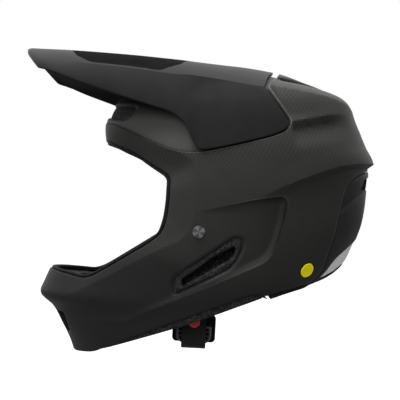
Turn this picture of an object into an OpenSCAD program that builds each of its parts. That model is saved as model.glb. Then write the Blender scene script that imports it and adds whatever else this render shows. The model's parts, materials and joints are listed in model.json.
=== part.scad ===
// Full-face mountain bike helmet: woven fibre shell, foam liner, adjustable visor and ring-fastened strap.
// Millimetres. Front is -Y, the wearer's left is +X, up is +Z. The origin is the centre of the head.

/* [Shell] */
// Overall length of the shell from chin nose to back
shell_length = 329; // [300:1:350]
// Overall width of the shell
shell_width = 224; // [205:1:240]
// Height of the shell from the bottom of the chin bar to the crown
shell_height = 283; // [265:1:300]
// Thickness of the moulded shell
shell_wall = 2.6; // [2:0.1:3.2]
// How deep the visor sits below the shell's outer surface
recess_depth = 4.6; // [4:0.1:5.5]
// Depth of the side scoop at its rear upper corner
scoop_depth = 8; // [6:0.5:9.5]
// Gap of the seam round the rear cover
seam_gap = 0.6; // [0.4:0.1:1]
// Air between the shell and the foam
foam_gap = 0.3; // [0.2:0.05:0.5]

/* [Foam] */
// Length of the head space
head_length = 209; // [200:1:214]
// Width of the head space
head_width = 163; // [156:1:168]
// Gap between the crown foam and the chin foam
foam_split = 0.8; // [0.5:0.1:1.5]

/* [Visor] */
// Thickness of the visor
visor_wall = 2.4; // [2:0.1:2.8]
// Gap between the visor's edge and the lip of the shell
visor_gap = 1.5; // [1.4:0.1:2]
// Radius of the visor's pivot studs
stud_r = 3; // [2.5:0.1:3.5]
// Running clearance of each pivot bush on its stud
stud_fit = 0.05; // [0.03:0.01:0.1]
// Outer radius of the pivot bushes
bush_r = 6; // [5.5:0.1:6.5]

/* [Edge trims] */
// Width of the rubber edge trims across the shell's edge
trim_w = 5.4; // [4.5:0.1:6]
// Thickness of the rubber edge trims
trim_t = 2.6; // [2:0.1:3]
// Gap between a trim and the edge that it covers
trim_gap = 0.3; // [0.2:0.05:0.5]

/* [Strap] */
// Width of the webbing
web_w = 23; // [20:0.5:25]
// Thickness of the webbing
web_t = 1.6; // [1.3:0.1:2]
// Radius of the strap rivet's head
rivet_head_r = 5.7; // [5:0.1:6.5]
// Radius of the strap rivet's shank
rivet_r = 2.5; // [2:0.1:3]
// Running clearance of the strap hanger on the rivet
rivet_fit = 0.05; // [0.03:0.01:0.1]
// Diameter of the wire of the rings
ring_wire = 3; // [2.6:0.1:3.4]
// Inside width of the rings
ring_inner = 27; // [26:0.5:29]
// Radius of the snap on the strap's folded end
snap_r = 5.4; // [4.5:0.1:6]

/* [Padding] */
// Thickness of the crown and brow pads
pad_t = 6; // [5:0.5:7]
// Thickness of the soft part of each cheek pad
cheek_soft_t = 15; // [12:0.5:17]
// Clearance between pads and what they lie on
pad_gap = 0.3; // [0.2:0.05:0.5]
// Thickness of the low-friction liner
slip_t = 0.9; // [0.8:0.1:1.2]
// Air between the foam and the low-friction liner
slip_gap = 1.6; // [1.5:0.1:2]

/* [Badge] */
// Radius of the round badge low on the left side
badge_r = 6.9; // [6:0.1:8]
// Thickness of the badge
badge_t = 0.8; // [0.6:0.1:1.2]

/* [Hidden] */

// The overall sizes of the shell and of the head space stretch the drawn sizes below
kx = shell_width / 224;
ky = shell_length / 329;
kz = shell_height / 283;
hx = head_width / 163;
hy = head_length / 209;

// Level curves of the outer form: height, front, back, half width, widest station, front and rear squareness
LEVELS = [
    [131, 2, 10, 3, 6, 2, 2],
    [129.6, -28, 25, 14, 3, 2, 2],
    [126.4, -52, 39.5, 27, 2, 2, 2],
    [121.6, -74, 54, 41, 3, 2.05, 2.05],
    [115, -93, 69, 57, 5, 2.1, 2.1],
    [106.5, -108, 89, 73, 8, 2.15, 2.2],
    [98, -117, 104.5, 83, 10, 2.2, 2.3],
    [88, -124.5, 112.8, 91.5, 12, 2.2, 2.3],
    [72, -129, 120, 100, 14, 2.2, 2.3],
    [52, -127.5, 128, 107, 14, 2.2, 2.3],
    [34, -127, 135, 110, 12, 2.2, 2.3],
    [10, -142, 134, 112, 8, 2.1, 2.25],
    [-20, -162, 126, 112, 2, 1.95, 2.2],
    [-44, -174, 117, 110, -6, 1.85, 2.2],
    [-62, -182, 108, 107.5, -12, 1.78, 2.2],
    [-78, -189.5, 94.5, 105, -18, 1.72, 2.2],
    [-92, -194, 79, 102.5, -22, 1.7, 2.2],
    [-105, -181, 66, 99, -26, 1.75, 2.2],
    [-122, -172, 52, 95, -30, 1.8, 2.2],
    [-154, -159, 30, 87, -36, 1.9, 2.2]
];

// Level curves of the space for the head and face, in the same order
SPACE = [
    [101, 0, 8, 3, 4, 2, 2],
    [99, -30, 32, 26, 4, 2, 2],
    [94, -50, 54, 43, 4, 2.05, 2.05],
    [84, -70, 75, 59, 4, 2.1, 2.1],
    [68, -87, 92, 70, 4, 2.15, 2.15],
    [48, -97, 102, 77, 4, 2.2, 2.2],
    [26, -101, 107, 81, 4, 2.2, 2.2],
    [2, -120, 108, 82, 2, 2.1, 2.2],
    [-22, -139, 104, 84, -4, 2, 2.2],
    [-46, -153, 97, 87.5, -10, 1.95, 2.2],
    [-70, -164, 88, 88.5, -16, 1.9, 2.2],
    [-92, -168, 78, 87.5, -22, 1.9, 2.2],
    [-112, -160, 66, 85, -28, 1.9, 2.2],
    [-134, -149, 54, 81, -33, 1.9, 2.2],
    [-156, -142, 44, 77, -36, 1.9, 2.2]
];

// Side outlines as [y, z] in drawn millimetres
// Edges of the window for the eyes and of the neck, as height for each place along y
BROW_EDGE = [[-260, 58], [-124, 57], [-105, 46.6], [-86, 35.8], [-73, 28.4], [-67, 24.6]];
JAMB = [[-64, 19], [-64.6, 0], [-65.9, -10], [-67, -17]];
CHIN_EDGE = [
    [-260, -60], [-190, -65.5], [-178, -67.5], [-159, -71], [-148, -73.5], [-138, -71], [-128, -65.5],
    [-108.6, -54.5], [-80.4, -37.8], [-72, -31], [-68, -23]
];
NECK_EDGE = [[24.5, -88.2], [42, -83.2], [64.8, -78], [84, -73], [94, -68.8], [104, -62.8], [170, -50]];
PORT = concat(BROW_EDGE, JAMB, [for (i = [len(CHIN_EDGE) - 1:-1:0]) CHIN_EDGE[i]]);
// Everything below the shell's lower edge
SHELL_FOOT = concat(
    [
        [-240, -148], [-160, -148], [-137, -144.6], [-124, -138], [-90, -123.5], [-58.6, -111],
        [-21.4, -97.3], [8.2, -86.5], [20, -85.5]
    ],
    NECK_EDGE,
    [[170, -220], [-240, -220]]
);
// Everything below the foam's lower edge, which is a little higher than the shell's round the back
FOAM_RAISE = [3, 1];
FOAM_FOOT = concat(
    [[-240, -146], [-150, -146], [-135.6, -143.5], [25.6, -90.8]],
    [for (e = NECK_EDGE) e + FOAM_RAISE],
    [[170, -220], [-240, -220]]
);
// Area that the visor covers, drawn for a visor gap of 1.5
VISOR_BED = [
    [-200, 84], [-128, 76], [-112, 69.7], [-89, 58], [-66, 47.2], [-50, 43.2], [-36, 42.8], [-16, 46.4],
    [6, 51.2], [26, 56.1], [38.5, 60.2], [45, 64.5], [48.2, 71.5], [37, 89], [27, 106], [40, 119],
    [44.5, 128], [44.5, 190], [-200, 190]
];
// Area of the rear cover, down to the arch over the nape
REAR_AREA = [
    [62, -83], [65, -79.4], [71, -74.4], [79, -65.3], [83.6, -49.2], [89.7, -31.9], [95.1, -13.7],
    [100.3, 1.8], [103.5, 9.2], [109.5, 16.7], [118, 22], [129.6, 26.5], [170, 34], [170, -100], [62, -100]
];
// Area of the nape panel, below the arch
NAPE_AREA = [
    [60, -84], [66, -79.6], [75.7, -75], [82.7, -67.8], [88, -60.5], [93.5, -54.3], [105, -46.4],
    [112, -42], [121, -38], [170, -32], [170, -110], [60, -110]
];
// Hollow of the rear vent, between the shell's lip and the cover's ledge
REAR_HOLLOW = [
    [97.2, -12.8], [113.2, -1.9], [131.6, 9.8], [170, 14], [170, 60], [100, 60], [60, 20], [80, -13]
];
// Outer form of the side vent, and the slot through the foam behind it
SIDE_VENT = [
    [-59, -72], [-54, -68.5], [-3.5, -35], [2.8, -37], [1, -45.6], [-4.5, -55.5], [-9.5, -61.3],
    [-58.5, -84.8]
];
SIDE_SLOT = [
    [-51.5, -73], [-20.6, -51], [-4.5, -42.5], [-4.5, -47.5], [-7, -51.5], [-18.5, -57.5], [-51, -76.5]
];
// Area of the side scoop, and the area below the fold that runs over its rear corner to the back
SCOOP_AREA = [
    [-108, -40], [-60, -16], [-34, -9.8], [14, 0.2], [36, 3.4], [42, 2.6], [44.7, -1.5], [42, -17],
    [34.8, -39.4], [30.4, -49], [22, -56.6], [2.6, -64.8], [-40.4, -83.2], [-86, -101], [-108, -104]
];
FOLD_LINE = [[26, 9.4], [34, 12], [56, 20.6], [84, 29], [112, 34], [170, 37]];
FOLD_AREA = concat(FOLD_LINE, [[170, -60], [90, -50], [60, -30], [50, 4]]);
bed_grow = visor_gap - 1.5;
function scaled(rows, sx, sy) =
    [for (r = rows) [kz * r[0], sy * r[1], sy * r[2], sx * r[3], sy * r[4], r[5], r[6]]];
OUTER = scaled(LEVELS, kx, ky);
INNER = scaled(SPACE, hx, hy);

// Smooth curve through four neighbouring rows of a table
function blend4(a, b, c, d, t) =
    0.5 * (2 * b + (c - a) * t + (2 * a - 5 * b + 4 * c - d) * t * t + (3 * b - a - 3 * c + d) * t * t * t);
function row_at(rows, v) =
    let (n = len(rows) - 1, c = min(max(v, 0), n), i = min(floor(c), n - 1))
    blend4(rows[max(i - 1, 0)], rows[i], rows[i + 1], rows[min(i + 2, n)], c - i);
function signed_power(s, p) = sign(s) * pow(abs(s), p);
function mix(a, b, t) = a + (b - a) * t;
function smooth(t) = let (c = min(max(t, 0), 1)) c * c * (3 - 2 * c);
function unit(v) = v / max(norm(v), 1e-9);

// Point of a level curve set at row v and angle a, where 0 is the left side and 90 the back
function level_point(rows, v, a) =
    let (
        r = row_at(rows, v),
        back = sin(a) >= 0,
        reach = back ? r[2] - r[4] : r[4] - r[1],
        p = 2 / (back ? r[6] : r[5])
    )
    [
        r[3] * signed_power(cos(a), p),
        r[4] + reach * signed_power(sin(a), p),
        r[0]
    ];
function level_normal(rows, v, a) =
    let (
        along = level_point(rows, v, a + 1) - level_point(rows, v, a - 1),
        down = level_point(rows, v + 0.05, a) - level_point(rows, v - 0.05, a),
        n = unit(cross(along, down))
    )
    -n;
function inset_point(rows, v, a, d) =
    level_point(rows, v, a) - (d == 0 ? [0, 0, 0] : d * level_normal(rows, v, a));

// Row whose height is z, found by halving
function row_of(rows, z, lo, hi, steps = 14) =
    steps == 0 ? (lo + hi) / 2
    : let (m = (lo + hi) / 2) row_at(rows, m)[0] > z
        ? row_of(rows, z, m, hi, steps - 1) : row_of(rows, z, lo, m, steps - 1);
function row_for(rows, z) = row_of(rows, z, 0, len(rows) - 1);
// Half width of a level curve set at a place seen from the side
function side_x(rows, y, z) =
    let (
        r = row_at(rows, row_for(rows, z)),
        yw = r[4],
        back = y > yw,
        reach = back ? r[2] - r[4] : r[4] - r[1],
        n = back ? r[6] : r[5],
        share = min(abs(y - yw) / reach, 1)
    )
    r[3] * pow(max(1 - pow(share, n), 0), 1 / n);

// Depths below the outer form: under the visor, in the scoop with its low front part, and below the fold
bed_front = ky * -122;
bed_full = ky * -62;
bed_least = 0.15;
function bed_inset(y) = recess_depth * mix(bed_least, 1, smooth((y - bed_front) / (bed_full - bed_front)));
scoop_start = -40;
scoop_reach = 76;
scoop_low = 0.28;
function scoop_inset(y, z) =
    let (
        run = max(y - scoop_start, 0),
        below = smooth((-62 - z - 0.42 * (y - scoop_start)) / 18),
        low = smooth((y + 106) / 66) * smooth((20 - y) / 50) * below
    )
    scoop_depth * max(run * run / (run + 8) / scoop_reach, scoop_low * low);
fold_step = 3.4;
function fold_inset(y, z) =
    fold_step * smooth((y - 8) / 80) * (1 - smooth((lookup(y, FOLD_LINE) - z - 14) / 55));
// Below bed_foot a sunk place is in the scoop or, behind fold_start, below the fold
bed_foot = 20;
fold_start = 44;
function sunk_at(y, z) = max(scoop_inset(y, z), y > fold_start ? fold_inset(y, z) : 0);
function sunk_inset(p) = p[2] > kz * bed_foot ? bed_inset(p[1]) : sunk_at(p[1] / ky, p[2] / kz);

// Closed solid of a level curve set, inset by d and, where it is sunk, by the depths above
module level_solid(rows, d, around, sunk = false) {
    count = len(rows) - 1;
    points = [
        for (i = [0:count]) for (j = [0:around - 1])
            let (a = j * 360 / around)
            inset_point(rows, i, a, d + (sunk ? sunk_inset(level_point(rows, i, a)) : 0))
    ];
    faces = concat(
        [[for (j = [around - 1:-1:0]) j]],
        [[for (j = [0:around - 1]) count * around + j]],
        [
            for (i = [0:count - 1]) for (j = [0:around - 1])
                let (a = i * around + j, b = i * around + (j + 1) % around)
                [a, b, b + around, a + around]
        ]
    );
    polyhedron(points, faces);
}

// Places and directions on the outer form, from the side view
function side(p) = [p[0] * ky, p[1] * kz];
function side_normal(y, z) =
    unit([
        1,
        (side_x(OUTER, y - 2, z) - side_x(OUTER, y + 2, z)) / 4,
        (side_x(OUTER, y, z - 2) - side_x(OUTER, y, z + 2)) / 4
    ]);

// Prism of a side outline, running across the helmet from x0 to x1
module across(outline, x0, x1, grow = 0) {
    translate([x0, 0, 0]) rotate([90, 0, 90]) linear_extrude(x1 - x0) offset(delta = grow)
        polygon([for (p = outline) side(p)]);
}
wide = shell_width;
module both_sides() {
    children();
    mirror([1, 0, 0]) children();
}

// Outer form with the visor bed, the scoops and the step below each fold, inset by d
shell_around = 36;
foam_around = 18;
module skin(d, around = shell_around) {
    level_solid(OUTER, d, around, true);
    difference() {
        level_solid(OUTER, d, around);
        across(VISOR_BED, -wide, wide, d + bed_grow);
        across(SCOOP_AREA, -wide, wide, d);
        across(FOLD_AREA, -wide, wide, d);
    }
}

// Hole through the side from a side outline, with round corners
module side_hole(outline, r, x0) {
    both_sides() hull() for (c = outline) {
        s = side(c);
        translate([x0, s[0], s[1]]) rotate([0, 90, 0]) cylinder(r = r, h = wide, $fn = 8);
    }
}
// Slot in the crown between two places [x, y], cut straight down to height z0
module crown_slot(ends, r, z0) {
    both_sides() hull() for (e = ends)
        translate([kx * e[0], ky * e[1], z0]) cylinder(r = r, h = shell_height, $fn = 10);
}
// Openings through the front and back, cut along y from y0 to y1, with corners as [x, z]
module front_hole(corners, r, y0, y1) {
    both_sides() hull() for (c = corners)
        translate([kx * c[0], ky * y0, kz * c[1]]) rotate([-90, 0, 0])
            cylinder(r = r, h = ky * (y1 - y0), $fn = 8);
}
BROW_SLOT = [[0, 91], [54, 86], [56, 78.5], [0, 86.5]];
mouth_r = 2;
MOUTH_HOLE = [[8, -111], [28, -111], [22, -128], [8, -128]];
REAR_HOLE = [[9, 20.5], [50, 17], [55, 10.5], [9, 11]];
side_r = 1.5;
brow_r = 1.6;
rear_r = 2.5;
front_crown_r = 6;
rear_crown_r = 5;
// First and last place along y of each opening through the front or back; the foam's brow slot is short
BROW_RUN = [-150, -60];
BROW_FOAM_RUN = [-150, -118];
MOUTH_RUN = [-200, -110];
REAR_RUN = [60, 160];
module vents(cut) {
    brow_run = cut == "foam" ? BROW_FOAM_RUN : BROW_RUN;
    side_hole(cut == "foam" ? SIDE_SLOT : SIDE_VENT, side_r, kx * 40);
    front_hole(BROW_SLOT, brow_r, brow_run[0], brow_run[1]);
    front_hole(MOUTH_HOLE, mouth_r, MOUTH_RUN[0], MOUTH_RUN[1]);
    front_hole(REAR_HOLE, rear_r, REAR_RUN[0], REAR_RUN[1]);
    crown_slot([[28, -78], [24, -24]], front_crown_r, kz * 60);
    crown_slot([[43, 44], [27, 94]], rear_crown_r, kz * 50);
}

// Cuts for the rivets and the visor studs
stud_y = ky * 22;
stud_z = kz * 92;
bush_seat = 1.2;
stud_n = side_normal(stud_y, stud_z);
stud_seat = [side_x(OUTER, stud_y, stud_z), stud_y, stud_z] - stud_n * (visor_wall + bush_seat);
stud_short = 0.8;
stud_x = stud_seat[0] - stud_r * stud_n[2] / stud_n[0] - stud_short;
pocket_r = bush_r + 2;
pocket_depth = 13;
pocket_floor = stud_x - pocket_depth;
flange_t = 2;
rivet_y = ky * -36;
rivet_z = kz * -28.6;
rivet_seat = 0.3;
rivet_x = side_x(OUTER, rivet_y, rivet_z) - rivet_seat;
rivet_room = 0.4;
module fixing_cuts(x0) {
    both_sides() {
        translate([kx * 40, rivet_y, rivet_z]) rotate([0, 90, 0])
            cylinder(r = rivet_r + rivet_room, h = wide, $fn = 24);
        translate([x0, stud_y, stud_z]) rotate([0, 90, 0]) cylinder(r = pocket_r, h = wide, $fn = 24);
    }
}

module outer_shell() {
    color([0.16, 0.16, 0.15]) difference() {
        skin(0);
        skin(shell_wall);
        across(PORT, -wide, wide);
        across(SHELL_FOOT, -wide, wide);
        across(REAR_AREA, -wide, wide, seam_gap);
        vents("shell");
        fixing_cuts(kx * 50);
    }
}

// The rear cover closes the back between the seam and the nape arch
ledge_depth = 4.5;
cover_inset = 0.2;
module rear_cover() {
    color([0.13, 0.13, 0.13]) difference() {
        intersection() {
            union() {
                difference() {
                    skin(cover_inset);
                    across(REAR_HOLLOW, -wide, wide);
                }
                skin(ledge_depth);
            }
            across(REAR_AREA, -wide, wide);
        }
        skin(ledge_depth + shell_wall);
        difference() {
            skin(shell_wall + cover_inset);
            across(REAR_HOLLOW, -wide, wide, shell_wall);
        }
        across(NAPE_AREA, -wide, wide);
        across(SHELL_FOOT, -wide, wide);
        vents("shell");
    }
}
nape_inset = 1.4;
nape_gap = 0.4;
nape_lift = 0.3;
module nape_panel() {
    color([0.75, 0.75, 0.75]) difference() {
        intersection() {
            skin(nape_inset);
            across(NAPE_AREA, -wide, wide, -nape_gap);
        }
        skin(nape_inset + shell_wall);
        across(SHELL_FOOT, -wide, wide, nape_lift);
        vents("shell");
    }
}

// Foam, inside the shell and outside the space for the head
foam_inset = shell_wall + foam_gap;
rear_foam_inset = ledge_depth + shell_wall + foam_gap + cover_inset;
space_around = 40;
port_setback = 0.8;
seam_setback = 1;
module foam_body() {
    difference() {
        skin(foam_inset, foam_around);
        level_solid(INNER, 0, space_around);
        across(PORT, -wide, wide, port_setback);
        across(FOAM_FOOT, -wide, wide);
        vents("foam");
        fixing_cuts(pocket_floor);
        difference() {
            across(REAR_AREA, -wide, wide, seam_gap + seam_setback);
            skin(rear_foam_inset, foam_around);
        }
    }
}
// The foam is split at the jambs: the chin foam is everything ahead of split_y and below the eyes
split_y = ky * -77;
foam_color = [0.2, 0.2, 0.2];
module chin_side(gap) {
    translate([-wide, -shell_length, -shell_height])
        cube([2 * wide, shell_length + split_y + gap / 2, shell_height]);
}
module foam_liner() {
    color(foam_color) difference() {
        foam_body();
        chin_side(foam_split);
    }
}
module chin_foam() {
    color(foam_color) intersection() {
        foam_body();
        chin_side(-foam_split);
    }
}

// Closed band along a path, w wide across the facing directions and t thick along them
function along(path, i) = unit(path[min(i + 1, len(path) - 1)] - path[max(i - 1, 0)]);
BAND = [[0.5, 0], [0.44, 0.5], [-0.44, 0.5], [-0.5, 0], [-0.44, -0.5], [0.44, -0.5]];
module band(path, facing, w, t) {
    n = len(path);
    m = len(BAND);
    points = [
        for (i = [0:n - 1])
            let (u = unit(cross(facing[i], along(path, i))), v = cross(along(path, i), u))
            for (c = BAND) path[i] + u * w * c[0] + v * t * c[1]
    ];
    faces = concat(
        [[for (j = [0:m - 1]) j]],
        [[for (j = [m - 1:-1:0]) (n - 1) * m + j]],
        [
            for (i = [0:n - 2]) for (j = [0:m - 1])
                let (a = i * m + j, b = i * m + (j + 1) % m)
                [b, a, a + m, b + m]
        ]
    );
    polyhedron(points, faces);
}
function mirrored(list) = [for (i = [len(list) - 1:-1:0]) [-list[i][0], list[i][1], list[i][2]]];
trim_inset = 1.6;
trim_drop = trim_gap + trim_t / 2;
// Direction from an edge into the opening that it borders, where side is 1 above an opening and -1 below one
function into(edge, y, side) =
    let (slope = (lookup(y / ky + 1, edge) - lookup(y / ky - 1, edge)) / 2 * kz / ky)
    unit([0, side * slope, -side]);
// Row of a level curve set where a side edge crosses angle a
function edge_row(rows, edge, a, lo, hi, steps = 14) =
    steps == 0 ? (lo + hi) / 2
    : let (m = (lo + hi) / 2, p = level_point(rows, m, a))
        p[2] / kz > lookup(p[1] / ky, edge)
        ? edge_row(rows, edge, a, m, hi, steps - 1) : edge_row(rows, edge, a, lo, m, steps - 1);
function edge_point(edge, a, lo, hi) =
    let (p = inset_point(OUTER, edge_row(OUTER, edge, a, lo, hi), a, trim_inset))
    [p[0], p[1], kz * lookup(p[1] / ky, edge)];
// Half of a trim's path runs from the middle round the left side; jamb points are [y, z, facing y, facing z]
function trim_facing(edge, points, side, jamb) =
    concat([for (p = points) into(edge, p[1], side)], [for (p = jamb) unit([0, p[2], p[3]])]);
function jamb_points(jamb) =
    [for (p = jamb) let (s = side(p)) [side_x(OUTER, s[0], s[1]) - trim_inset, s[0], s[1]]];
module trim(edge, turns, side, jamb, lo, hi) {
    points = [for (a = turns) edge_point(edge, a, lo, hi)];
    facing = trim_facing(edge, points, side, jamb);
    ends = concat(points, jamb_points(jamb));
    half = [for (i = [0:len(ends) - 1]) ends[i] + facing[i] * trim_drop];
    middle = [for (i = [1:len(half) - 1]) half[i]];
    other = [for (i = [1:len(facing) - 1]) facing[i]];
    band(concat(mirrored(middle), half), concat(mirrored(other), facing), trim_w, trim_t);
}
BROW_JAMB = [
    [-75, 29.6, -0.5, -0.87], [-68, 25.2, -0.56, -0.83], [-65.4, 21.6, -0.88, -0.47], [-64.1, 17, -1, -0.03],
    [-64.3, 11, -1, 0], [-64.4, 6.4, -1, 0]
];
CHIN_JAMB = [
    [-74, -32.8, -0.6, 0.8], [-70, -27, -0.88, 0.47], [-67.8, -20.6, -0.97, 0.25], [-66.1, -11, -0.99, 0.13],
    [-65, -3, -0.99, 0.1], [-64.4, 3.6, -1, 0]
];
module brow_trim() {
    turns = [270, 276, 282, 288, 294, 300, 306, 312, 317];
    color([0.1, 0.1, 0.1]) trim(BROW_EDGE, turns, 1, BROW_JAMB, 6, 11);
}
module chin_trim() {
    turns = [270, 275, 279, 283, 287, 291, 296, 301, 306, 311, 316, 321];
    color([0.1, 0.1, 0.1]) trim(CHIN_EDGE, turns, -1, CHIN_JAMB, 10.5, 17);
}
module neck_trim() {
    color([0.08, 0.08, 0.08]) trim(NECK_EDGE, [90, 80, 70, 62, 55, 49, 43, 38, 33, 28], 1, [], 13, 19);
}

// Grille in the mouth vents, just behind the shell
grille_t = 1.2;
grille_bar = 1.4;
grille_y = -156;
grille_gap = 0.3;
grille_start = [kx * 7.4, ky * grille_y - 1, kz * -128.6];
grille_pitch = [kx * 4.6, kz * 4.2];
module mouth_grille() {
    color([0.08, 0.08, 0.08]) difference() {
        front_hole(MOUTH_HOLE, mouth_r - grille_gap, grille_y, grille_y + grille_t / ky);
        both_sides() for (i = [0:4]) for (j = [0:4])
            translate(grille_start + [i * grille_pitch[0], 0, j * grille_pitch[1]])
                cube([grille_pitch[0] - grille_bar, grille_t + 2, grille_pitch[1] - grille_bar]);
    }
}

// Round badge low on the left side, turned to lie along the shell
badge_y = ky * 62.5;
badge_z = kz * -64;
badge_lift = 0.35;
module round_badge() {
    n = side_normal(badge_y, badge_z);
    tilt = acos(n[2]);
    turn = atan2(n[1], n[0]);
    place = [side_x(OUTER, badge_y, badge_z), badge_y, badge_z] + n * badge_lift;
    color([0.8, 0.75, 0.1]) translate(place) rotate([0, tilt, turn])
        cylinder(r = badge_r, h = badge_t, $fn = 64);
}

// Strap rivet: domed head outside, shank through shell and foam, flat head inside the hanger
hanger_t = 1.6;
hanger_gap = 0.5;
hanger_x = side_x(INNER, rivet_y - 9, rivet_z + 9) - hanger_t / 2 - hanger_gap;
hanger_play = 0.15;
rivet_head_t = 1.8;
inner_head_t = 1.2;
inner_head_r = rivet_r * 1.8;
module on_side(side_sign) mirror([side_sign < 0 ? 1 : 0, 0, 0]) children();
module strap_rivet(side_sign) {
    reach = rivet_x - hanger_x;
    low = -hanger_t / 2 - hanger_play;
    r = rivet_head_r;
    t = rivet_head_t;
    color([0.75, 0.75, 0.76]) on_side(side_sign) translate([hanger_x, rivet_y, rivet_z]) rotate([0, 90, 0]) {
        translate([0, 0, low - inner_head_t]) cylinder(r = inner_head_r, h = inner_head_t, $fn = 48);
        translate([0, 0, low]) cylinder(r = rivet_r, h = reach + hanger_t, $fn = 48);
        translate([0, 0, reach + rivet_seat]) rotate_extrude($fn = 64)
            polygon([[0, 0], [r, 0], [r, t * 0.5], [r * 0.9, t * 0.85], [r * 0.5, t], [0, t]]);
    }
}
module strap_rivet_left() strap_rivet(1);
module strap_rivet_right() strap_rivet(-1);

// Visor: columns from front to back, each with a centre, a ridge and a lower edge point
VISOR = [
    [[0, -207, 151.6], [40, -200, 142.5], [67, -186.5, 125]],
    [[0, -190, 150.8], [48, -186, 137.5], [72, -174, 120.5]],
    [[0, -163, 149.6], [55, -160, 131.5], [77, -154, 112]],
    [[0, -130, 147.2], [60, -128, 127.4], [82, -126, 101.8]],
    [[0, -95, 144.2], [63, -93, 123], [88, -94, 91]],
    [[0, -62, 140.6], [65, -60, 118], [94.5, -60, 79.8]],
    [[0, -46, 138.7], [64.5, -46, 117.4], [99.5, -46.5, 68.6]],
    [[0, -36, 137.4], [66, -37, 116], [105, -38.6, 50]],
    [[0, -30, 136.6], [66.8, -30, 114.8], [106.5, -34, 45.4]],
    [[0, -12, 134.4], [69, -14, 112], [108, -16, 48.4]],
    [[0, 6, 132.4], [70.8, 0, 109.6], [107, 6, 53.4]],
    [[0, 22, 130], [72.4, 13, 107.4], [103, 26, 58.3]],
    [[0, 38, 127], [73, 24.5, 105.2], [98.5, 45.6, 69.5]]
];
visor_rows = 8;
ridge_row = 4;
// Half width of the hollow in the visor's top at each place along y
HOLLOW = [[-159, 0], [-143, 38], [-74, 47], [-60, 30], [-47, 0]];
hollow_depth = 4.5;
hollow_reach = 40;
function hollow_inset(x, y) =
    let (half = lookup(y, HOLLOW), inside = y > HOLLOW[0][0] && y < HOLLOW[len(HOLLOW) - 1][0])
    inside ? hollow_depth * min(x / hollow_reach, 1) * smooth((half + 1 - x) / 3) : 0;
visor_steps = 2;
// Point of the visor's outer face at column v and row i from the centre down the left side
function visor_outer(v, i) =
    let (
        c = row_at(VISOR, v),
        s = i <= ridge_row ? pow(i / ridge_row, 0.75) : (i - ridge_row) / (visor_rows - ridge_row),
        round_off = 6
    )
    i <= ridge_row
    ? let (p = mix(c[0], c[1], s), z = c[0][2] - (c[0][2] - c[1][2]) * pow(s, 1.6))
        [kx * p[0], ky * p[1], kz * z - hollow_inset(p[0], p[1])]
    : let (
        p = mix(c[1], c[2], s),
        y = ky * p[1],
        z = kz * p[2],
        flat = kx * (p[0] + 12 * s * (1 - s)),
        shell = side_x(OUTER, y, z),
        near = max(round_off - abs(flat - shell), 0) / round_off
    )
    [max(flat, shell) + near * near * round_off / 4, y, z];
function visor_full(v, j) =
    j >= visor_rows ? visor_outer(v, j - visor_rows)
    : let (p = visor_outer(v, visor_rows - j)) [-p[0], p[1], p[2]];
function visor_normal(v, j) =
    let (
        last = len(VISOR) - 1,
        a = visor_full(min(v + 0.3, last), j) - visor_full(max(v - 0.3, 0), j),
        b = visor_full(v, min(j + 1, 2 * visor_rows)) - visor_full(v, max(j - 1, 0))
    )
    unit(cross(b, a));
module sheet(outer, inner, rows, cols) {
    size = rows * cols;
    points = concat(outer, inner);
    faces = concat(
        [for (i = [0:rows - 2]) for (j = [0:cols - 2])
            [i * cols + j, i * cols + j + 1, (i + 1) * cols + j + 1, (i + 1) * cols + j]],
        [for (i = [0:rows - 2]) for (j = [0:cols - 2])
            let (a = size + i * cols + j) [a, a + cols, a + cols + 1, a + 1]],
        [for (j = [0:cols - 2]) [j, size + j, size + j + 1, j + 1]],
        [for (j = [0:cols - 2]) let (k = (rows - 1) * cols + j) [k, k + 1, size + k + 1, size + k]],
        [for (i = [0:rows - 2]) let (k = i * cols) [k, k + cols, size + k + cols, size + k]],
        [for (i = [0:rows - 2]) let (k = i * cols + cols - 1) [k, size + k, size + k + cols, k + cols]]
    );
    polyhedron(points, faces);
}
module visor() {
    rows = (len(VISOR) - 1) * visor_steps + 1;
    cols = 2 * visor_rows + 1;
    outer = [for (i = [0:rows - 1]) for (j = [0:cols - 1]) visor_full(i / visor_steps, j)];
    inner = [
        for (i = [0:rows - 1]) for (j = [0:cols - 1])
            visor_full(i / visor_steps, j) - visor_wall * visor_normal(i / visor_steps, j)
    ];
    color([0.1, 0.1, 0.1]) sheet(inner, outer, rows, cols);
}
// Each bush is cut off along the visor's inner face, turns on its stud and lifts with the visor
stud_play = 0.3;
bush_play = 0.6;
flange_gap = 0.4;
module on_stud(side_sign, x) {
    on_side(side_sign) translate([x, stud_y, stud_z]) rotate([0, 90, 0]) children();
}
module visor_bush(side_sign) {
    block = 10 * stud_r;
    color([0.25, 0.25, 0.25]) difference() {
        on_stud(side_sign, pocket_floor + flange_t + bush_play) cylinder(r = bush_r, h = block, $fn = 64);
        on_stud(side_sign, pocket_floor) cylinder(r = stud_r + stud_fit, h = wide, $fn = 64);
        on_side(side_sign) translate(stud_seat) rotate([0, acos(stud_n[2]), atan2(stud_n[1], stud_n[0])])
            translate([-block, -block, 0]) cube(2 * block);
    }
}
module visor_bush_left() visor_bush(1);
module visor_bush_right() visor_bush(-1);
module visor_stud(side_sign) {
    color([0.6, 0.6, 0.6]) on_stud(side_sign, pocket_floor + stud_play) {
        cylinder(r = pocket_r - flange_gap, h = flange_t - stud_play, $fn = 64);
        cylinder(r = stud_r, h = stud_x - pocket_floor - stud_play, $fn = 64);
    }
}
module visor_stud_left() visor_stud(1);
module visor_stud_right() visor_stud(-1);
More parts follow.
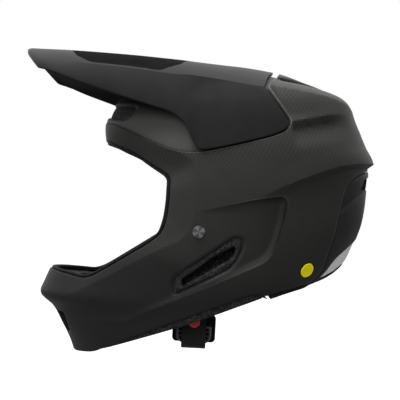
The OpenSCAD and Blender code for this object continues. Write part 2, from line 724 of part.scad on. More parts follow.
// Rubber stop on the crown, between the bed and the visor
stop_col = 8;
stop_play = 1.8;
stop_r = 6;
function crown_row(y, lo, hi, steps = 14) =
    steps == 0 ? (lo + hi) / 2
    : let (m = (lo + hi) / 2)
        row_at(OUTER, m)[1] < y ? crown_row(y, lo, m, steps - 1) : crown_row(y, m, hi, steps - 1);
module visor_stop() {
    y = ky * VISOR[stop_col][0][1];
    v = crown_row(y, 0, 6);
    base = inset_point(OUTER, v, 270, recess_depth - foam_gap);
    n = level_normal(OUTER, v, 270);
    top = kz * VISOR[stop_col][0][2] - visor_wall - stop_play;
    color([0.1, 0.1, 0.1]) translate(base) rotate([acos(n[2]), 0, 0])
        cylinder(r = stop_r, h = (top - base[2]) / n[2], $fn = 48);
}

// Patch of padding on the head space, crowned and drawn in at its edges
// turn holds its first and last angle, top and foot the rows of its edges at those two angles
function drawn_in(u) = sqrt(max(1 - pow(abs(u), 6), 0));
module patch(turn, top, foot, d0, t, rows, cols, edge = 0.35) {
    grid = [
        for (i = [0:rows - 1]) for (j = [0:cols - 1])
            let (
                w = j / (cols - 1),
                v = mix(mix(top[1], top[0], pow(1 - w, 2)), mix(foot[0], foot[1], w), i / (rows - 1)),
                fill = drawn_in(2 * i / (rows - 1) - 1) * drawn_in(2 * w - 1)
            )
            [v, mix(turn[0], turn[1], w), mix(edge, 1, fill)]
    ];
    outer = [for (g = grid) inset_point(INNER, g[0], g[1], d0)];
    inner = [for (g = grid) inset_point(INNER, g[0], g[1], d0 + t * g[2])];
    sheet(outer, inner, rows, cols);
}

// Low-friction liner: a cap on the head space that turns a little on a pin at the crown
slip_out = slip_gap;
slip_in = slip_gap + slip_t;
slip_rows = 8;
slip_around = 32;
slip_first = 0.35;
// The liner's rim is higher over the brow than round the back
function slip_last(a) = mix(5.9, 5.2, smooth((-sin(a) - 0.3) / 0.5));
module slip_liner() {
    n = slip_rows + 1;
    m = slip_around;
    ring = function (i, d) [
        for (j = [0:m - 1])
            let (a = j * 360 / m) inset_point(INNER, mix(slip_first, slip_last(a), i / slip_rows), a, d)
    ];
    points = [for (d = [slip_out, slip_in]) for (i = [0:n - 1]) each ring(i, d)];
    quad = function (a, b, j) [a * m + j, a * m + (j + 1) % m, b * m + (j + 1) % m, b * m + j];
    faces = concat(
        [for (i = [0:n - 2]) for (j = [0:m - 1]) quad(i, i + 1, j)],
        [for (i = [0:n - 2]) for (j = [0:m - 1]) quad(n + i + 1, n + i, j)],
        [for (j = [0:m - 1]) quad(n, 0, j)],
        [for (j = [0:m - 1]) quad(n - 1, 2 * n - 1, j)]
    );
    color([0.85, 0.8, 0.1]) polyhedron(points, faces);
}
slip_axis_y = hy * 4;
slip_top = kz * SPACE[0][0] - slip_gap;
pin_r = 4;
pin_fit = 0.05;
hub_r = 17;
hub_t = 1.5;
hub_drop = 1.25;
hub_z = slip_top - slip_t - hub_drop - hub_t;
module slip_hub() {
    color([0.85, 0.8, 0.1]) translate([0, slip_axis_y, hub_z]) difference() {
        cylinder(r = hub_r, h = hub_t, $fn = 96);
        translate([0, 0, -1]) cylinder(r = pin_r + pin_fit, h = hub_t + 2, $fn = 96);
    }
}
pin_flange_t = 1.2;
pin_flange_r = pin_r + 2.5;
pin_play = 0.3;
module slip_pin() {
    low = hub_z - pin_play;
    color([0.2, 0.2, 0.2]) translate([0, slip_axis_y, low]) {
        cylinder(r = pin_r, h = slip_top + slip_gap - pin_play - low, $fn = 64);
        translate([0, 0, -pin_flange_t]) cylinder(r = pin_flange_r, h = pin_flange_t, $fn = 64);
    }
}
curve_room = 0.5;
seat_gap = pad_gap + curve_room;
pad_out = slip_in + seat_gap;
pad_color = [0.3, 0.3, 0.3];
module brow_pad() { color(pad_color) patch([222, 318], [4.15, 4.15], [5.3, 5.3], pad_out, pad_t, 6, 14); }
module rear_pad() { color(pad_color) patch([48, 132], [4.4, 4.4], [5.8, 5.8], pad_out, pad_t, 6, 14); }
module side_pad_left() { color(pad_color) patch([-22, 24], [3.4, 3.4], [5.6, 5.6], pad_out, pad_t, 7, 9); }
module side_pad_right() { mirror([1, 0, 0]) side_pad_left(); }
crown_pad_r = 30;
crown_hole_r = 12;
crown_pad_t = 5;
module crown_pad() {
    a = crown_hole_r;
    b = crown_pad_r;
    t = crown_pad_t;
    color(pad_color) translate([0, slip_axis_y, hub_z - pad_gap - t]) rotate_extrude($fn = 64)
        polygon([[a, 1], [a + 2, 0], [b - 4, 0], [b - 1, 1.4], [b, 3.4], [b - 1, t], [a, t]]);
}

// Cheek pieces: a foam block with a channel for the strap, and a soft pad on its inner face
cheek_block_t = 15;
strap_lean = 2.9;
swing = 8;
CHEEK_TURN = [-34, 26];
CHEEK_TOP = [9.5, 8.4];
CHEEK_FOOT = [12, 10.4];
// The strap's channel through the foam is deeper below the cheek, where the webbing turns in to the rings
channel_side = 1.5;
channel_w = web_w + 2 * channel_side;
channel_foot = -130;
channel_top = 16;
channel_deep = 30;
channel_x = hanger_x - 3.8;
turn_in_x = hx * 68;
turn_in_top = -54;
module strap_channel(x, top) {
    hull() for (s = [-1, 1]) rotate([s * (swing + 1), 0, 0])
        translate([x, -channel_w / 2, channel_foot]) cube([channel_deep, channel_w, top - channel_foot]);
}
module cheek_foam_left() {
    color([0.18, 0.18, 0.18]) difference() {
        patch(CHEEK_TURN, CHEEK_TOP, CHEEK_FOOT, seat_gap, cheek_block_t, 7, 10, 0.8);
        translate([0, rivet_y, rivet_z]) rotate([-strap_lean, 0, 0]) {
            strap_channel(channel_x, channel_top);
            strap_channel(turn_in_x, turn_in_top);
        }
    }
}
module cheek_foam_right() mirror([1, 0, 0]) cheek_foam_left();
module cheek_pad_left() {
    color([0.12, 0.12, 0.12])
        patch(CHEEK_TURN + [1, -1], CHEEK_TOP + [0.12, 0.12], CHEEK_FOOT - [0.15, 0.15],
            seat_gap + cheek_block_t + pad_gap, cheek_soft_t, 7, 10, 0.3);
}
module cheek_pad_right() mirror([1, 0, 0]) cheek_pad_left();

// Strap: hangers turn on the rivets, webbing runs down inside the cheeks and under the chin
module on_strap() {
    translate([0, rivet_y, rivet_z]) rotate([-strap_lean, 0, 0])
        translate([0, -rivet_y, -rivet_z]) children();
}
hanger_drop = 18;
hanger_slot_z = rivet_z - hanger_drop;
hanger_eye_r = 8;
hanger_neck = 12;
hanger_rim = 3;
hanger_bar = 6;
hanger_head = 5;
slot_drop = 2.6;
slot_h = 4;
slot_side = 0.5;
module strap_hanger(side_sign) {
    w = web_w + 2 * hanger_rim;
    slot_w = web_w + 2 * slot_side;
    color([0.7, 0.7, 0.72]) on_strap() on_side(side_sign) translate([hanger_x - hanger_t / 2, rivet_y, 0])
        rotate([90, 0, 90]) linear_extrude(hanger_t) difference() {
            union() {
                translate([0, rivet_z]) circle(r = hanger_eye_r, $fn = 48);
                translate([-hanger_neck / 2, hanger_slot_z]) square([hanger_neck, hanger_drop]);
                translate([-w / 2, hanger_slot_z - hanger_bar]) square([w, hanger_bar + hanger_head]);
            }
            translate([0, rivet_z]) circle(r = rivet_r + rivet_fit, $fn = 64);
            translate([-slot_w / 2, hanger_slot_z - slot_drop]) square([slot_w, slot_h]);
        }
}
module strap_hanger_left() strap_hanger(1);
module strap_hanger_right() strap_hanger(-1);

ring_gap = 0.4;
ring_x = hx * 62.5;
ring_x2 = ring_x + ring_wire + ring_gap;
ring_top = kz * -118.5;
ring_h = 13.5;
loop_play = 0.4;
loop_r = (ring_wire + ring_gap + ring_wire) / 2 + web_t / 2 + loop_play;
ring_mid = (ring_x + ring_x2) / 2;
tail_gap = 0.6;
tail_x = ring_mid + loop_r + web_t + tail_gap;
// Webbing routes as [x, z] points chosen by hand; each starts round the bottom bar of its hanger
HANGER_TURN = [[2, -12], [2, -3], [1.2, -1.2], [0, -0.6], [-1.2, -1.2], [-2, -3], [-2, -12]];
function hanger_loop() = [for (p = HANGER_TURN) [hanger_x + p[0], hanger_slot_z + p[1]]];
function left_route() = concat(
    hanger_loop(),
    [
        [hx * 79.5, kz * -75], [hx * 78.5, kz * -87], [hx * 75, kz * -97],
        [ring_mid + loop_r + tail_gap, kz * -104], [ring_mid + loop_r, kz * -110]
    ],
    [for (a = [0:-30:-180]) [ring_mid + loop_r * cos(a), ring_top + loop_r * sin(a)]],
    [[ring_mid - loop_r, kz * -112], [ring_mid - loop_r, kz * -106]]
);
function right_route() = concat(
    [
        [tail_x, kz * -107.5], [tail_x, kz * -126], [tail_x, kz * -131.4], [tail_x - 1.4, kz * -134.6],
        [tail_x - 4.4, kz * -136.4], [hx * 60, kz * -138], [hx * 48, kz * -140.4], [hx * 30, kz * -143],
        [hx * 10, kz * -144.8], [hx * -10, kz * -145], [hx * -30, kz * -143], [hx * -48, kz * -138.6],
        [hx * -62, kz * -130.5], [hx * -71, kz * -119], [hx * -76.5, kz * -104], [hx * -78.8, kz * -88],
        [hx * -79.3, kz * -75]
    ],
    [for (i = [len(HANGER_TURN) - 1:-1:0]) let (p = hanger_loop()[i]) [-p[0], p[1]]]
);
module webbing(route) {
    path = [for (p = route) [p[0], rivet_y, p[1]]];
    on_strap() band(path, [for (i = [0:len(path) - 1]) cross(along(path, i), [0, 1, 0])], web_w, web_t);
}
module strap_left() { color([0.12, 0.12, 0.12]) webbing(left_route()); }
module strap_right() { color([0.12, 0.12, 0.12]) webbing(right_route()); }
flap_w = 40.5;
flap_h = 26;
flap_top = kz * -107.5;
flap_t = 2.6;
flap_r = 4;
flap_gap = 0.3;
flap_x = ring_mid - loop_r - web_t / 2 - flap_gap - flap_t;
module strap_flap() {
    color([0.08, 0.08, 0.08]) on_strap() translate([flap_x, rivet_y, flap_top - flap_h])
        rotate([90, 0, 90]) linear_extrude(flap_t) difference() {
            translate([-flap_w / 2, 0]) square([flap_w, flap_h]);
            for (s = [-1, 1]) translate([s * (flap_w / 2 - flap_r), flap_r]) difference() {
                translate([s > 0 ? 0 : -flap_r - 1, -flap_r - 1]) square(flap_r + 1);
                circle(r = flap_r, $fn = 48);
            }
        }
}
// D-shaped ring in the plane across x, with its straight bar at the top
module wire(length) cylinder(d = ring_wire, h = length, $fn = 32);
module ring_at(x) {
    bend = 5;
    half = ring_inner / 2 + ring_wire / 2;
    color([0.55, 0.55, 0.55]) on_strap() translate([x, rivet_y, ring_top]) rotate([90, 0, 90]) {
        translate([-half, 0, 0]) rotate([0, 90, 0]) wire(2 * half);
        translate([-half + bend, -ring_h, 0]) rotate([0, 90, 0]) wire(2 * (half - bend));
        for (s = [-1, 1]) {
            translate([s * half, 0, 0]) sphere(d = ring_wire, $fn = 32);
            translate([s * half, -ring_h + bend, 0]) rotate([-90, 0, 0]) wire(ring_h - bend);
            translate([s * (half - bend), -ring_h + bend, 0]) rotate([0, 0, s > 0 ? -90 : 180])
                rotate_extrude(angle = 90, $fn = 64) translate([bend, 0]) circle(d = ring_wire, $fn = 32);
        }
    }
}
module ring_outer() ring_at(ring_x2);
module ring_inner_side() ring_at(ring_x);
snap_z = kz * -113.2;
snap_gap = 0.1;
snap_t = 1.8;
socket_t = 1.2;
module at_snap(x) on_strap() translate([x, rivet_y, snap_z]) rotate([0, 90, 0]) children();
module snap_cap() {
    r = snap_r;
    t = snap_t;
    color([0.75, 0.25, 0.27]) at_snap(tail_x + web_t / 2 + snap_gap) rotate_extrude($fn = 64)
        polygon([[0, 0], [r, 0], [r, t * 0.45], [r * 0.85, t * 0.83], [r * 0.4, t], [0, t]]);
}
module snap_socket() {
    color([0.1, 0.1, 0.1]) at_snap(ring_mid + loop_r - web_t / 2 - snap_gap - socket_t)
        cylinder(r = snap_r * 0.6, h = socket_t, $fn = 48);
}

outer_shell();
rear_cover();
nape_panel();
foam_liner();
chin_foam();
brow_trim();
chin_trim();
neck_trim();
mouth_grille();
round_badge();
strap_rivet_left();
strap_rivet_right();
visor();
visor_bush_left();
visor_bush_right();
visor_stud_left();
visor_stud_right();
visor_stop();
slip_liner();
slip_hub();
slip_pin();
brow_pad();
crown_pad();
side_pad_left();
side_pad_right();
rear_pad();
cheek_foam_left();
cheek_foam_right();
cheek_pad_left();
cheek_pad_right();
strap_hanger_left();
strap_hanger_right();
strap_left();
strap_right();
strap_flap();
ring_outer();
ring_inner_side();
snap_cap();
snap_socket();
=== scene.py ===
"""Looks of the full-face mountain bike helmet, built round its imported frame.

Sizes in the shape code are millimetres in the helmet's own frame: -y is the front, +x the wearer's
left, +z up, and the origin is the centre of the head. Meshes are brought to metres when they are made.
"""

import json
import math

import bmesh
import bpy
import numpy as np
from mathutils import Matrix, Vector
from mathutils.bvhtree import BVHTree


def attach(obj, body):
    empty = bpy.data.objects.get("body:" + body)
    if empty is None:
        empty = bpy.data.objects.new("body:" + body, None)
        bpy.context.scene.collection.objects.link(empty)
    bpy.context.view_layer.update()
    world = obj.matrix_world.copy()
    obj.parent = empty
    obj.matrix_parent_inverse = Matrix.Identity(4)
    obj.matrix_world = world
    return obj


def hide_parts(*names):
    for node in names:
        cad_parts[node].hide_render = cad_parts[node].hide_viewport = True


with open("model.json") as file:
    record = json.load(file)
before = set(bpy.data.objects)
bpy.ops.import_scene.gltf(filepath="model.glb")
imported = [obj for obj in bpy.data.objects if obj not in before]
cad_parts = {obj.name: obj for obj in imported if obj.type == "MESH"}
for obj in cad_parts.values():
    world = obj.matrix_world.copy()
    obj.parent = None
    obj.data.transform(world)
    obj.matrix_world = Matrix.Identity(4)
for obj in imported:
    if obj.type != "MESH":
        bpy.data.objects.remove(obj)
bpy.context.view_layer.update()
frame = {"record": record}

MM = 0.001
bpy.ops.object.select_all(action="DESELECT")

# Camera and studio

CAMERA_DISTANCE = 1.0
VIEW_CENTRE = (-0.035, 0.0)
FLOOR_Z = -0.30


def set_camera():
    """Looks along -x at the left side, with one millimetre to a pixel on the middle plane."""
    camera = bpy.data.cameras.new("camera")
    camera.sensor_width = 36.0
    camera.lens = camera.sensor_width * CAMERA_DISTANCE / 0.4
    holder = bpy.data.objects.new("camera", camera)
    holder.location = (CAMERA_DISTANCE, *VIEW_CENTRE)
    holder.rotation_euler = (math.radians(90), 0, math.radians(90))
    bpy.context.collection.objects.link(holder)
    bpy.context.scene.camera = holder


# Name, place, aim, side in metres, watts, and whether reflections show the lamp
LAMPS = (
    ("top_softbox", (-0.02, -0.2, 1.2), (0, 0, 0), 1.3, 76, False),
    ("front_softbox", (0.8, -1.15, 0.6), (0, -0.05, 0), 0.7, 1.3, True),
    ("side_fill", (1.3, -0.4, 0.6), (0, 0, 0), 1.0, 12, False),
    ("rear_fill", (0.2, 1.4, 0.6), (0, 0, 0), 0.8, 3, False),
)
WORLD_FILL = 0.08
FLOOR_SIZE = 12
FLOOR_TONE = 0.16
# The floor's glow to the camera rises from the first level to the second between these distances
GLOW_REACH, GLOW_LEVELS = (0.3, 1.3), (0.62, 1.0)


def add_lamp(name, place, aim, size, watts, mirrored):
    lamp = bpy.data.lights.new(name, "AREA")
    lamp.shape = "RECTANGLE"
    lamp.size = lamp.size_y = size
    lamp.energy = watts
    holder = bpy.data.objects.new(name, lamp)
    holder.location = place
    holder.rotation_euler = (Vector(aim) - Vector(place)).to_track_quat("-Z", "Y").to_euler()
    holder.visible_glossy = mirrored
    bpy.context.collection.objects.link(holder)


def set_studio():
    """Soft light from above and ahead, and a world that is white to the camera and in reflections."""
    bpy.context.scene.view_settings.view_transform = "Standard"
    for lamp in LAMPS:
        add_lamp(*lamp)
    world = bpy.data.worlds.new("studio")
    bpy.context.scene.world = world
    world.use_nodes = True
    tree = world.node_tree
    back = tree.nodes["Background"]
    rays = tree.nodes.new("ShaderNodeLightPath")
    seen = tree.nodes.new("ShaderNodeMath")
    seen.operation = "MAXIMUM"
    mirrored = tree.nodes.new("ShaderNodeMath")
    mirrored.operation = "MAXIMUM"
    level = tree.nodes.new("ShaderNodeMapRange")
    level.inputs["To Min"].default_value = WORLD_FILL
    level.inputs["To Max"].default_value = 1.0
    tree.links.new(rays.outputs["Is Glossy Ray"], mirrored.inputs[0])
    tree.links.new(rays.outputs["Is Transmission Ray"], mirrored.inputs[1])
    tree.links.new(rays.outputs["Is Camera Ray"], seen.inputs[0])
    tree.links.new(mirrored.outputs[0], seen.inputs[1])
    tree.links.new(seen.outputs[0], level.inputs["Value"])
    tree.links.new(level.outputs[0], back.inputs["Strength"])
    back.inputs["Color"].default_value = (1, 1, 1, 1)
    bpy.ops.mesh.primitive_plane_add(size=FLOOR_SIZE, location=(0, 0, FLOOR_Z))
    floor = bpy.context.object
    floor.name = "floor"
    floor.data.materials.append(floor_material())


def floor_material():
    """White to the camera where it is lit, and darker near the helmet where that shades it."""
    material = bpy.data.materials.new("floor_white")
    material.use_nodes = True
    tree = material.node_tree
    shader = tree.nodes["Principled BSDF"]
    shader.inputs["Base Color"].default_value = (FLOOR_TONE, FLOOR_TONE, FLOOR_TONE, 1)
    shader.inputs["Roughness"].default_value = 0.9
    rays = tree.nodes.new("ShaderNodeLightPath")
    glow = tree.nodes.new("ShaderNodeMath")
    glow.operation = "MULTIPLY"
    place = tree.nodes.new("ShaderNodeTexCoord")
    reach = tree.nodes.new("ShaderNodeVectorMath")
    reach.operation = "LENGTH"
    level = tree.nodes.new("ShaderNodeMapRange")
    level.interpolation_type = "SMOOTHSTEP"
    for name, value in zip(("From Min", "From Max", "To Min", "To Max"), (*GLOW_REACH, *GLOW_LEVELS)):
        level.inputs[name].default_value = value
    tree.links.new(place.outputs["Object"], reach.inputs[0])
    tree.links.new(reach.outputs["Value"], level.inputs["Value"])
    tree.links.new(level.outputs[0], glow.inputs[1])
    tree.links.new(rays.outputs["Is Camera Ray"], glow.inputs[0])
    shader.inputs["Emission Color"].default_value = (1, 1, 1, 1)
    tree.links.new(glow.outputs[0], shader.inputs["Emission Strength"])
    return material


set_camera()
set_studio()

# Level curves of the outer form and of the head space:
# height, front, back, half width, widest station, front squareness, rear squareness

OUTER = np.array([
    [131, 2, 10, 3, 6, 2, 2], [129.6, -28, 25, 14, 3, 2, 2], [126.4, -52, 39.5, 27, 2, 2, 2],
    [121.6, -74, 54, 41, 3, 2.05, 2.05], [115, -93, 69, 57, 5, 2.1, 2.1],
    [106.5, -108, 89, 73, 8, 2.15, 2.2], [98, -117, 104.5, 83, 10, 2.2, 2.3],
    [88, -124.5, 112.8, 91.5, 12, 2.2, 2.3], [72, -129, 120, 100, 14, 2.2, 2.3],
    [52, -127.5, 128, 107, 14, 2.2, 2.3], [34, -127, 135, 110, 12, 2.2, 2.3],
    [10, -142, 134, 112, 8, 2.1, 2.25], [-20, -162, 126, 112, 2, 1.95, 2.2],
    [-44, -174, 117, 110, -6, 1.85, 2.2], [-62, -182, 108, 107.5, -12, 1.78, 2.2],
    [-78, -189.5, 94.5, 105, -18, 1.72, 2.2], [-92, -194, 79, 102.5, -22, 1.7, 2.2],
    [-105, -181, 66, 99, -26, 1.75, 2.2], [-122, -172, 52, 95, -30, 1.8, 2.2],
    [-137, -164.5, 40, 91, -33, 1.85, 2.2], [-154, -159, 30, 87, -36, 1.9, 2.2],
])
INNER = np.array([
    [101, 0, 8, 3, 4, 2, 2], [99, -30, 32, 26, 4, 2, 2], [94, -50, 54, 43, 4, 2.05, 2.05],
    [84, -70, 75, 59, 4, 2.1, 2.1], [68, -87, 92, 70, 4, 2.15, 2.15], [48, -97, 102, 77, 4, 2.2, 2.2],
    [26, -101, 107, 81, 4, 2.2, 2.2], [2, -120, 108, 82, 2, 2.1, 2.2], [-22, -139, 104, 84, -4, 2, 2.2],
    [-46, -153, 97, 87.5, -10, 1.95, 2.2], [-70, -164, 88, 88.5, -16, 1.9, 2.2],
    [-92, -168, 78, 87.5, -22, 1.9, 2.2], [-112, -160, 66, 85, -28, 1.9, 2.2],
    [-134, -149, 54, 81, -33, 1.9, 2.2], [-156, -142, 44, 77, -36, 1.9, 2.2],
])

# Outlines seen from the side, as (y, z)

BROW_EDGE = [(-260, 58), (-124, 57), (-105, 46.6), (-86, 35.8), (-73, 28.4), (-67, 24.6)]
JAMB = [(-64, 19), (-64.6, 0), (-65.9, -10), (-67, -17)]
CHIN_EDGE = [
    (-260, -60), (-190, -65.5), (-178, -67.5), (-159, -71), (-148, -73.5), (-138, -71), (-128, -65.5),
    (-108.6, -54.5), (-80.4, -37.8), (-72, -31), (-68, -23),
]
PORT = BROW_EDGE + JAMB + CHIN_EDGE[::-1]
NECK_EDGE = [(24.5, -88.2), (42, -83.2), (64.8, -78), (84, -73), (94, -68.8), (104, -62.8), (170, -50)]
SHELL_FOOT = [
    (-240, -148), (-160, -148), (-137, -144.6), (-124, -138), (-90, -123.5), (-58.6, -111), (-21.4, -97.3),
    (8.2, -86.5), (20, -85.5), *NECK_EDGE, (170, -220), (-240, -220),
]
FOAM_FOOT = [
    (-240, -146), (-150, -146), (-135.6, -143.5), (25.6, -90.8), *[(y + 3, z + 1) for y, z in NECK_EDGE],
    (170, -220), (-240, -220),
]
VISOR_BED = [
    (-200, 84), (-128, 76), (-112, 69.7), (-89, 58), (-66, 47.2), (-50, 43.2), (-36, 42.8), (-16, 46.4),
    (6, 51.2), (26, 56.1), (38.5, 60.2), (45, 64.5), (48.2, 71.5), (37, 89), (27, 106), (40, 119),
    (44.5, 128), (44.5, 190), (-200, 190),
]
REAR_AREA = [
    (62, -83), (65, -79.4), (71, -74.4), (79, -65.3), (83.6, -49.2), (89.7, -31.9), (95.1, -13.7),
    (100.3, 1.8), (103.5, 9.2), (109.5, 16.7), (118, 22), (129.6, 26.5), (170, 34), (170, -100),
    (62, -100),
]
NAPE_AREA = [
    (60, -84), (66, -79.6), (75.7, -75), (82.7, -67.8), (88, -60.5), (93.5, -54.3), (105, -46.4), (112, -42),
    (121, -38), (170, -32), (170, -110), (60, -110),
]
REAR_HOLLOW = [
    (97.2, -12.8), (113.2, -1.9), (131.6, 9.8), (170, 14), (170, 60), (100, 60), (60, 20), (80, -13),
]
SIDE_VENT = [
    (-60.4, -72.4), (-54.6, -67.2), (-3.9, -33.6), (4.2, -36.4), (2.4, -46), (-3.2, -56.2), (-8.9, -62.6),
    (-58.9, -86.2),
]
SIDE_SLOT = [(-53, -72.4), (-21, -49.8), (-3.4, -41.4), (-3, -47.6), (-5.8, -52.6), (-18, -59), (-51.6, -78)]
SCOOP = [
    (-60, -16), (-34, -9.8), (14, 0.2), (36, 3.4), (42, 2.6), (44.7, -1.5), (42, -17), (34.8, -39.4),
    (30.4, -49), (22, -56.6), (2.6, -64.8), (-40.4, -83.2), (-86, -101), (-108, -104), (-108, -40),
]
FACE_FRAME = [
    (-260, 76), (-124, 74), (-110.8, 68.8), (-98, 62.3), (-80.8, 54), (-65.8, 47), (-50.2, 42), (-42, 36),
    (-38.6, 28), (-38.6, 9), (-39.5, -13.5), (-44.8, -30.3), (-56.4, -38.3), (-72.5, -44.6), (-107, -63),
    (-146, -83.3), (-166, -92), (-180, -96), (-260, -96),
]
# Openings seen from ahead, as (x, z), and from above, as (x, y)
BROW_SLOT = [(-57, 90), (0, 94), (57, 90), (62, 86.5), (59.5, 76), (0, 83), (-59.5, 76), (-62, 86.5)]
MOUTH_VENT = [(6, -109), (30, -109), (24, -130), (6, -130)]
REAR_VENT = [(6.5, 23), (51, 19.5), (57.5, 8), (6.5, 8.5)]
CROWN_SLOT_FRONT = [(30, -84), (34, -79), (30, -24), (24, -18), (18, -24), (22, -77), (25, -83)]
CROWN_SLOT_REAR = [(44, 38), (52, 44), (35, 96), (28, 100.5), (21, 94), (37, 42)]
# Folds in the shell, as (y, z) from front to back
SHOULDER_FOLD = [(12, -0.5), (33.4, 9), (54.5, 18.2), (72.5, 24.6), (91.7, 30.8), (111, 33.6), (160, 35)]
LOWER_FOLD = [(12, -9), (38.9, 3.2), (54.1, 9.8), (72.5, 17.5), (89.8, 25), (111, 30), (160, 32)]
VISOR_FOLD = [(44, 70), (60, 73.2), (80, 77), (108, 81)]
CROWN_FOLD = [(24, 102.6), (49.8, 98.4), (79, 93.4), (104, 87.4), (122, 81)]
CHIN_FOLD = [(-170, -117), (-140, -114), (-101.6, -111), (-87, -103.4), (-40, -86)]

VISOR = np.array([
    [[0, -207, 151.6], [40, -200, 142.5], [67, -186.5, 125]],
    [[0, -190, 150.8], [48, -186, 137.5], [72, -174, 120.5]],
    [[0, -163, 149.6], [55, -160, 131.5], [77, -154, 112]],
    [[0, -130, 147.2], [60, -128, 127.4], [82, -126, 101.8]],
    [[0, -95, 144.2], [63, -93, 123], [88, -94, 91]],
    [[0, -62, 140.6], [65, -60, 118], [94.5, -60, 79.8]],
    [[0, -46, 138.7], [64.5, -46, 117.4], [99.5, -46.5, 68.6]],
    [[0, -36, 137.4], [66, -37, 116], [105, -38.6, 50]],
    [[0, -30, 136.6], [66.8, -30, 114.8], [106.5, -34, 45.4]],
    [[0, -12, 134.4], [69, -14, 112], [108, -16, 48.4]],
    [[0, 6, 132.4], [70.8, 0, 109.6], [107, 6, 53.4]], [[0, 22, 130], [72.4, 13, 107.4], [103, 26, 58.3]],
    [[0, 38, 127], [73, 24.5, 105.2], [98.5, 45.6, 69.5]],
], dtype=float)

SHELL_WALL = 2.6
EDGE_R, SLOT_R, MOUTH_R, VENT_R = 1.4, 2.6, 2.4, 3.0
REAR_GAP = 0.35
BED_DEPTH = 4.6
FOAM_INSET = 2.9
LEDGE_DEPTH = 4.5
NAPE_INSET, NAPE_GAP = 1.4, 0.4

# Level surfaces


def smooth(t):
    t = np.clip(t, 0, 1)
    return t * t * (3 - 2 * t)


def blend_rows(rows, v):
    """Smooth rows between the rows of a table."""
    last = len(rows) - 1
    c = np.clip(v, 0, last)
    i = np.minimum(c.astype(int), last - 1)
    shape = (-1,) + (1,) * (rows.ndim - 1)
    t = (c - i).reshape(shape)
    a, b, d, e = rows[np.maximum(i - 1, 0)], rows[i], rows[i + 1], rows[np.minimum(i + 2, last)]
    square, cube = 2 * a - 5 * b + 4 * d - e, 3 * b - a - 3 * d + e
    return 0.5 * (2 * b + (d - a) * t + square * t * t + cube * t ** 3)


def travelled(path):
    """Way along a path to each of its points, from 0."""
    return np.concatenate([[0], np.cumsum(np.linalg.norm(np.diff(path, axis=0), axis=1))])


def level_points(rows, v, a):
    """Places on a level surface at row v and angle a in degrees: 0 is the left side and 90 the back."""
    r = blend_rows(rows, v)
    s, c = np.sin(np.radians(a)), np.cos(np.radians(a))
    back = s >= 0
    reach = np.where(back, r[:, 2] - r[:, 4], r[:, 4] - r[:, 1])
    power = 2 / np.where(back, r[:, 6], r[:, 5])
    x = r[:, 3] * np.sign(c) * np.abs(c) ** power
    y = r[:, 4] + reach * np.sign(s) * np.abs(s) ** power
    return np.stack([x, y, r[:, 0]], axis=1)


def level_normals(rows, v, a):
    along = level_points(rows, v, a + 1) - level_points(rows, v, a - 1)
    down = level_points(rows, v + 0.05, a) - level_points(rows, v - 0.05, a)
    n = np.cross(down, along)
    return n / np.maximum(np.linalg.norm(n, axis=1), 1e-9)[:, None]


def even_rows(rows, count, first=0.0, last=None):
    """Row values that lie evenly down the side of a level surface."""
    last = len(rows) - 1 if last is None else last
    v = np.linspace(first, last, 900)
    step = sum(
        np.linalg.norm(np.diff(level_points(rows, v, np.full(900, a)), axis=0), axis=1)
        for a in (-80.0, 0.0, 80.0)
    )
    travel = np.concatenate([[0], np.cumsum(step)])
    return np.interp(np.linspace(0, travel[-1], count), travel, v), travel[-1] / 3


def level_grid(rows, columns, count, first=0.0, last=None):
    """Even grid on a level surface, closed round the head, with each place's run along the cloth."""
    values, height = even_rows(rows, count, first, last)
    dense = np.linspace(-90, 90, 721)
    places, runs = [], []
    for k, v in enumerate(values):
        curve = level_points(rows, np.full(721, v), dense)
        travel = travelled(curve)
        goal = np.linspace(0, travel[-1], columns + 1)
        left = np.stack([np.interp(goal, travel, curve[:, i]) for i in range(3)], axis=1)
        right = left[-2:0:-1] * (-1, 1, 1)
        places.append(np.concatenate([left, right]))
        side = np.concatenate([goal, goal[-2:0:-1]]) - travel[-1] / 2
        runs.append(np.stack([side, np.full(len(side), k / (count - 1) * height)], axis=1))
    return np.array(places), np.array(runs)


# Distances to outlines and lines in a flat view


def round_off(points, limit, times=2):
    """Cuts the corners of a closed outline, each by at most the limit."""
    for _ in range(times):
        rounded = []
        for i, p in enumerate(points):
            q = points[(i + 1) % len(points)]
            length = math.dist(p, q)
            share = min(0.25, limit / max(length, 1e-6))
            rounded.append((p[0] + (q[0] - p[0]) * share, p[1] + (q[1] - p[1]) * share))
            rounded.append((q[0] - (q[0] - p[0]) * share, q[1] - (q[1] - p[1]) * share))
        points = rounded
        limit *= 0.4
    return points


def to_segments(p, a, b):
    """Distance from each place to a segment, and how far along it the nearest point lies."""
    d = b - a
    t = np.clip(((p - a) @ d) / max(d @ d, 1e-9), 0, 1)
    return np.linalg.norm(p - (a + t[:, None] * d), axis=1), t


def outline_distance(points, p):
    """Distance to a closed outline, negative inside it."""
    q = np.array(points, dtype=float)
    best = np.full(len(p), 1e9)
    inside = np.zeros(len(p), dtype=bool)
    for a, b in zip(q, np.roll(q, -1, axis=0)):
        best = np.minimum(best, to_segments(p, a, b)[0])
        if a[1] != b[1]:
            crosses = (a[1] > p[:, 1]) != (b[1] > p[:, 1])
            at = a[0] + (p[:, 1] - a[1]) * (b[0] - a[0]) / (b[1] - a[1])
            inside ^= crosses & (p[:, 0] < at)
    return np.where(inside, -best, best)


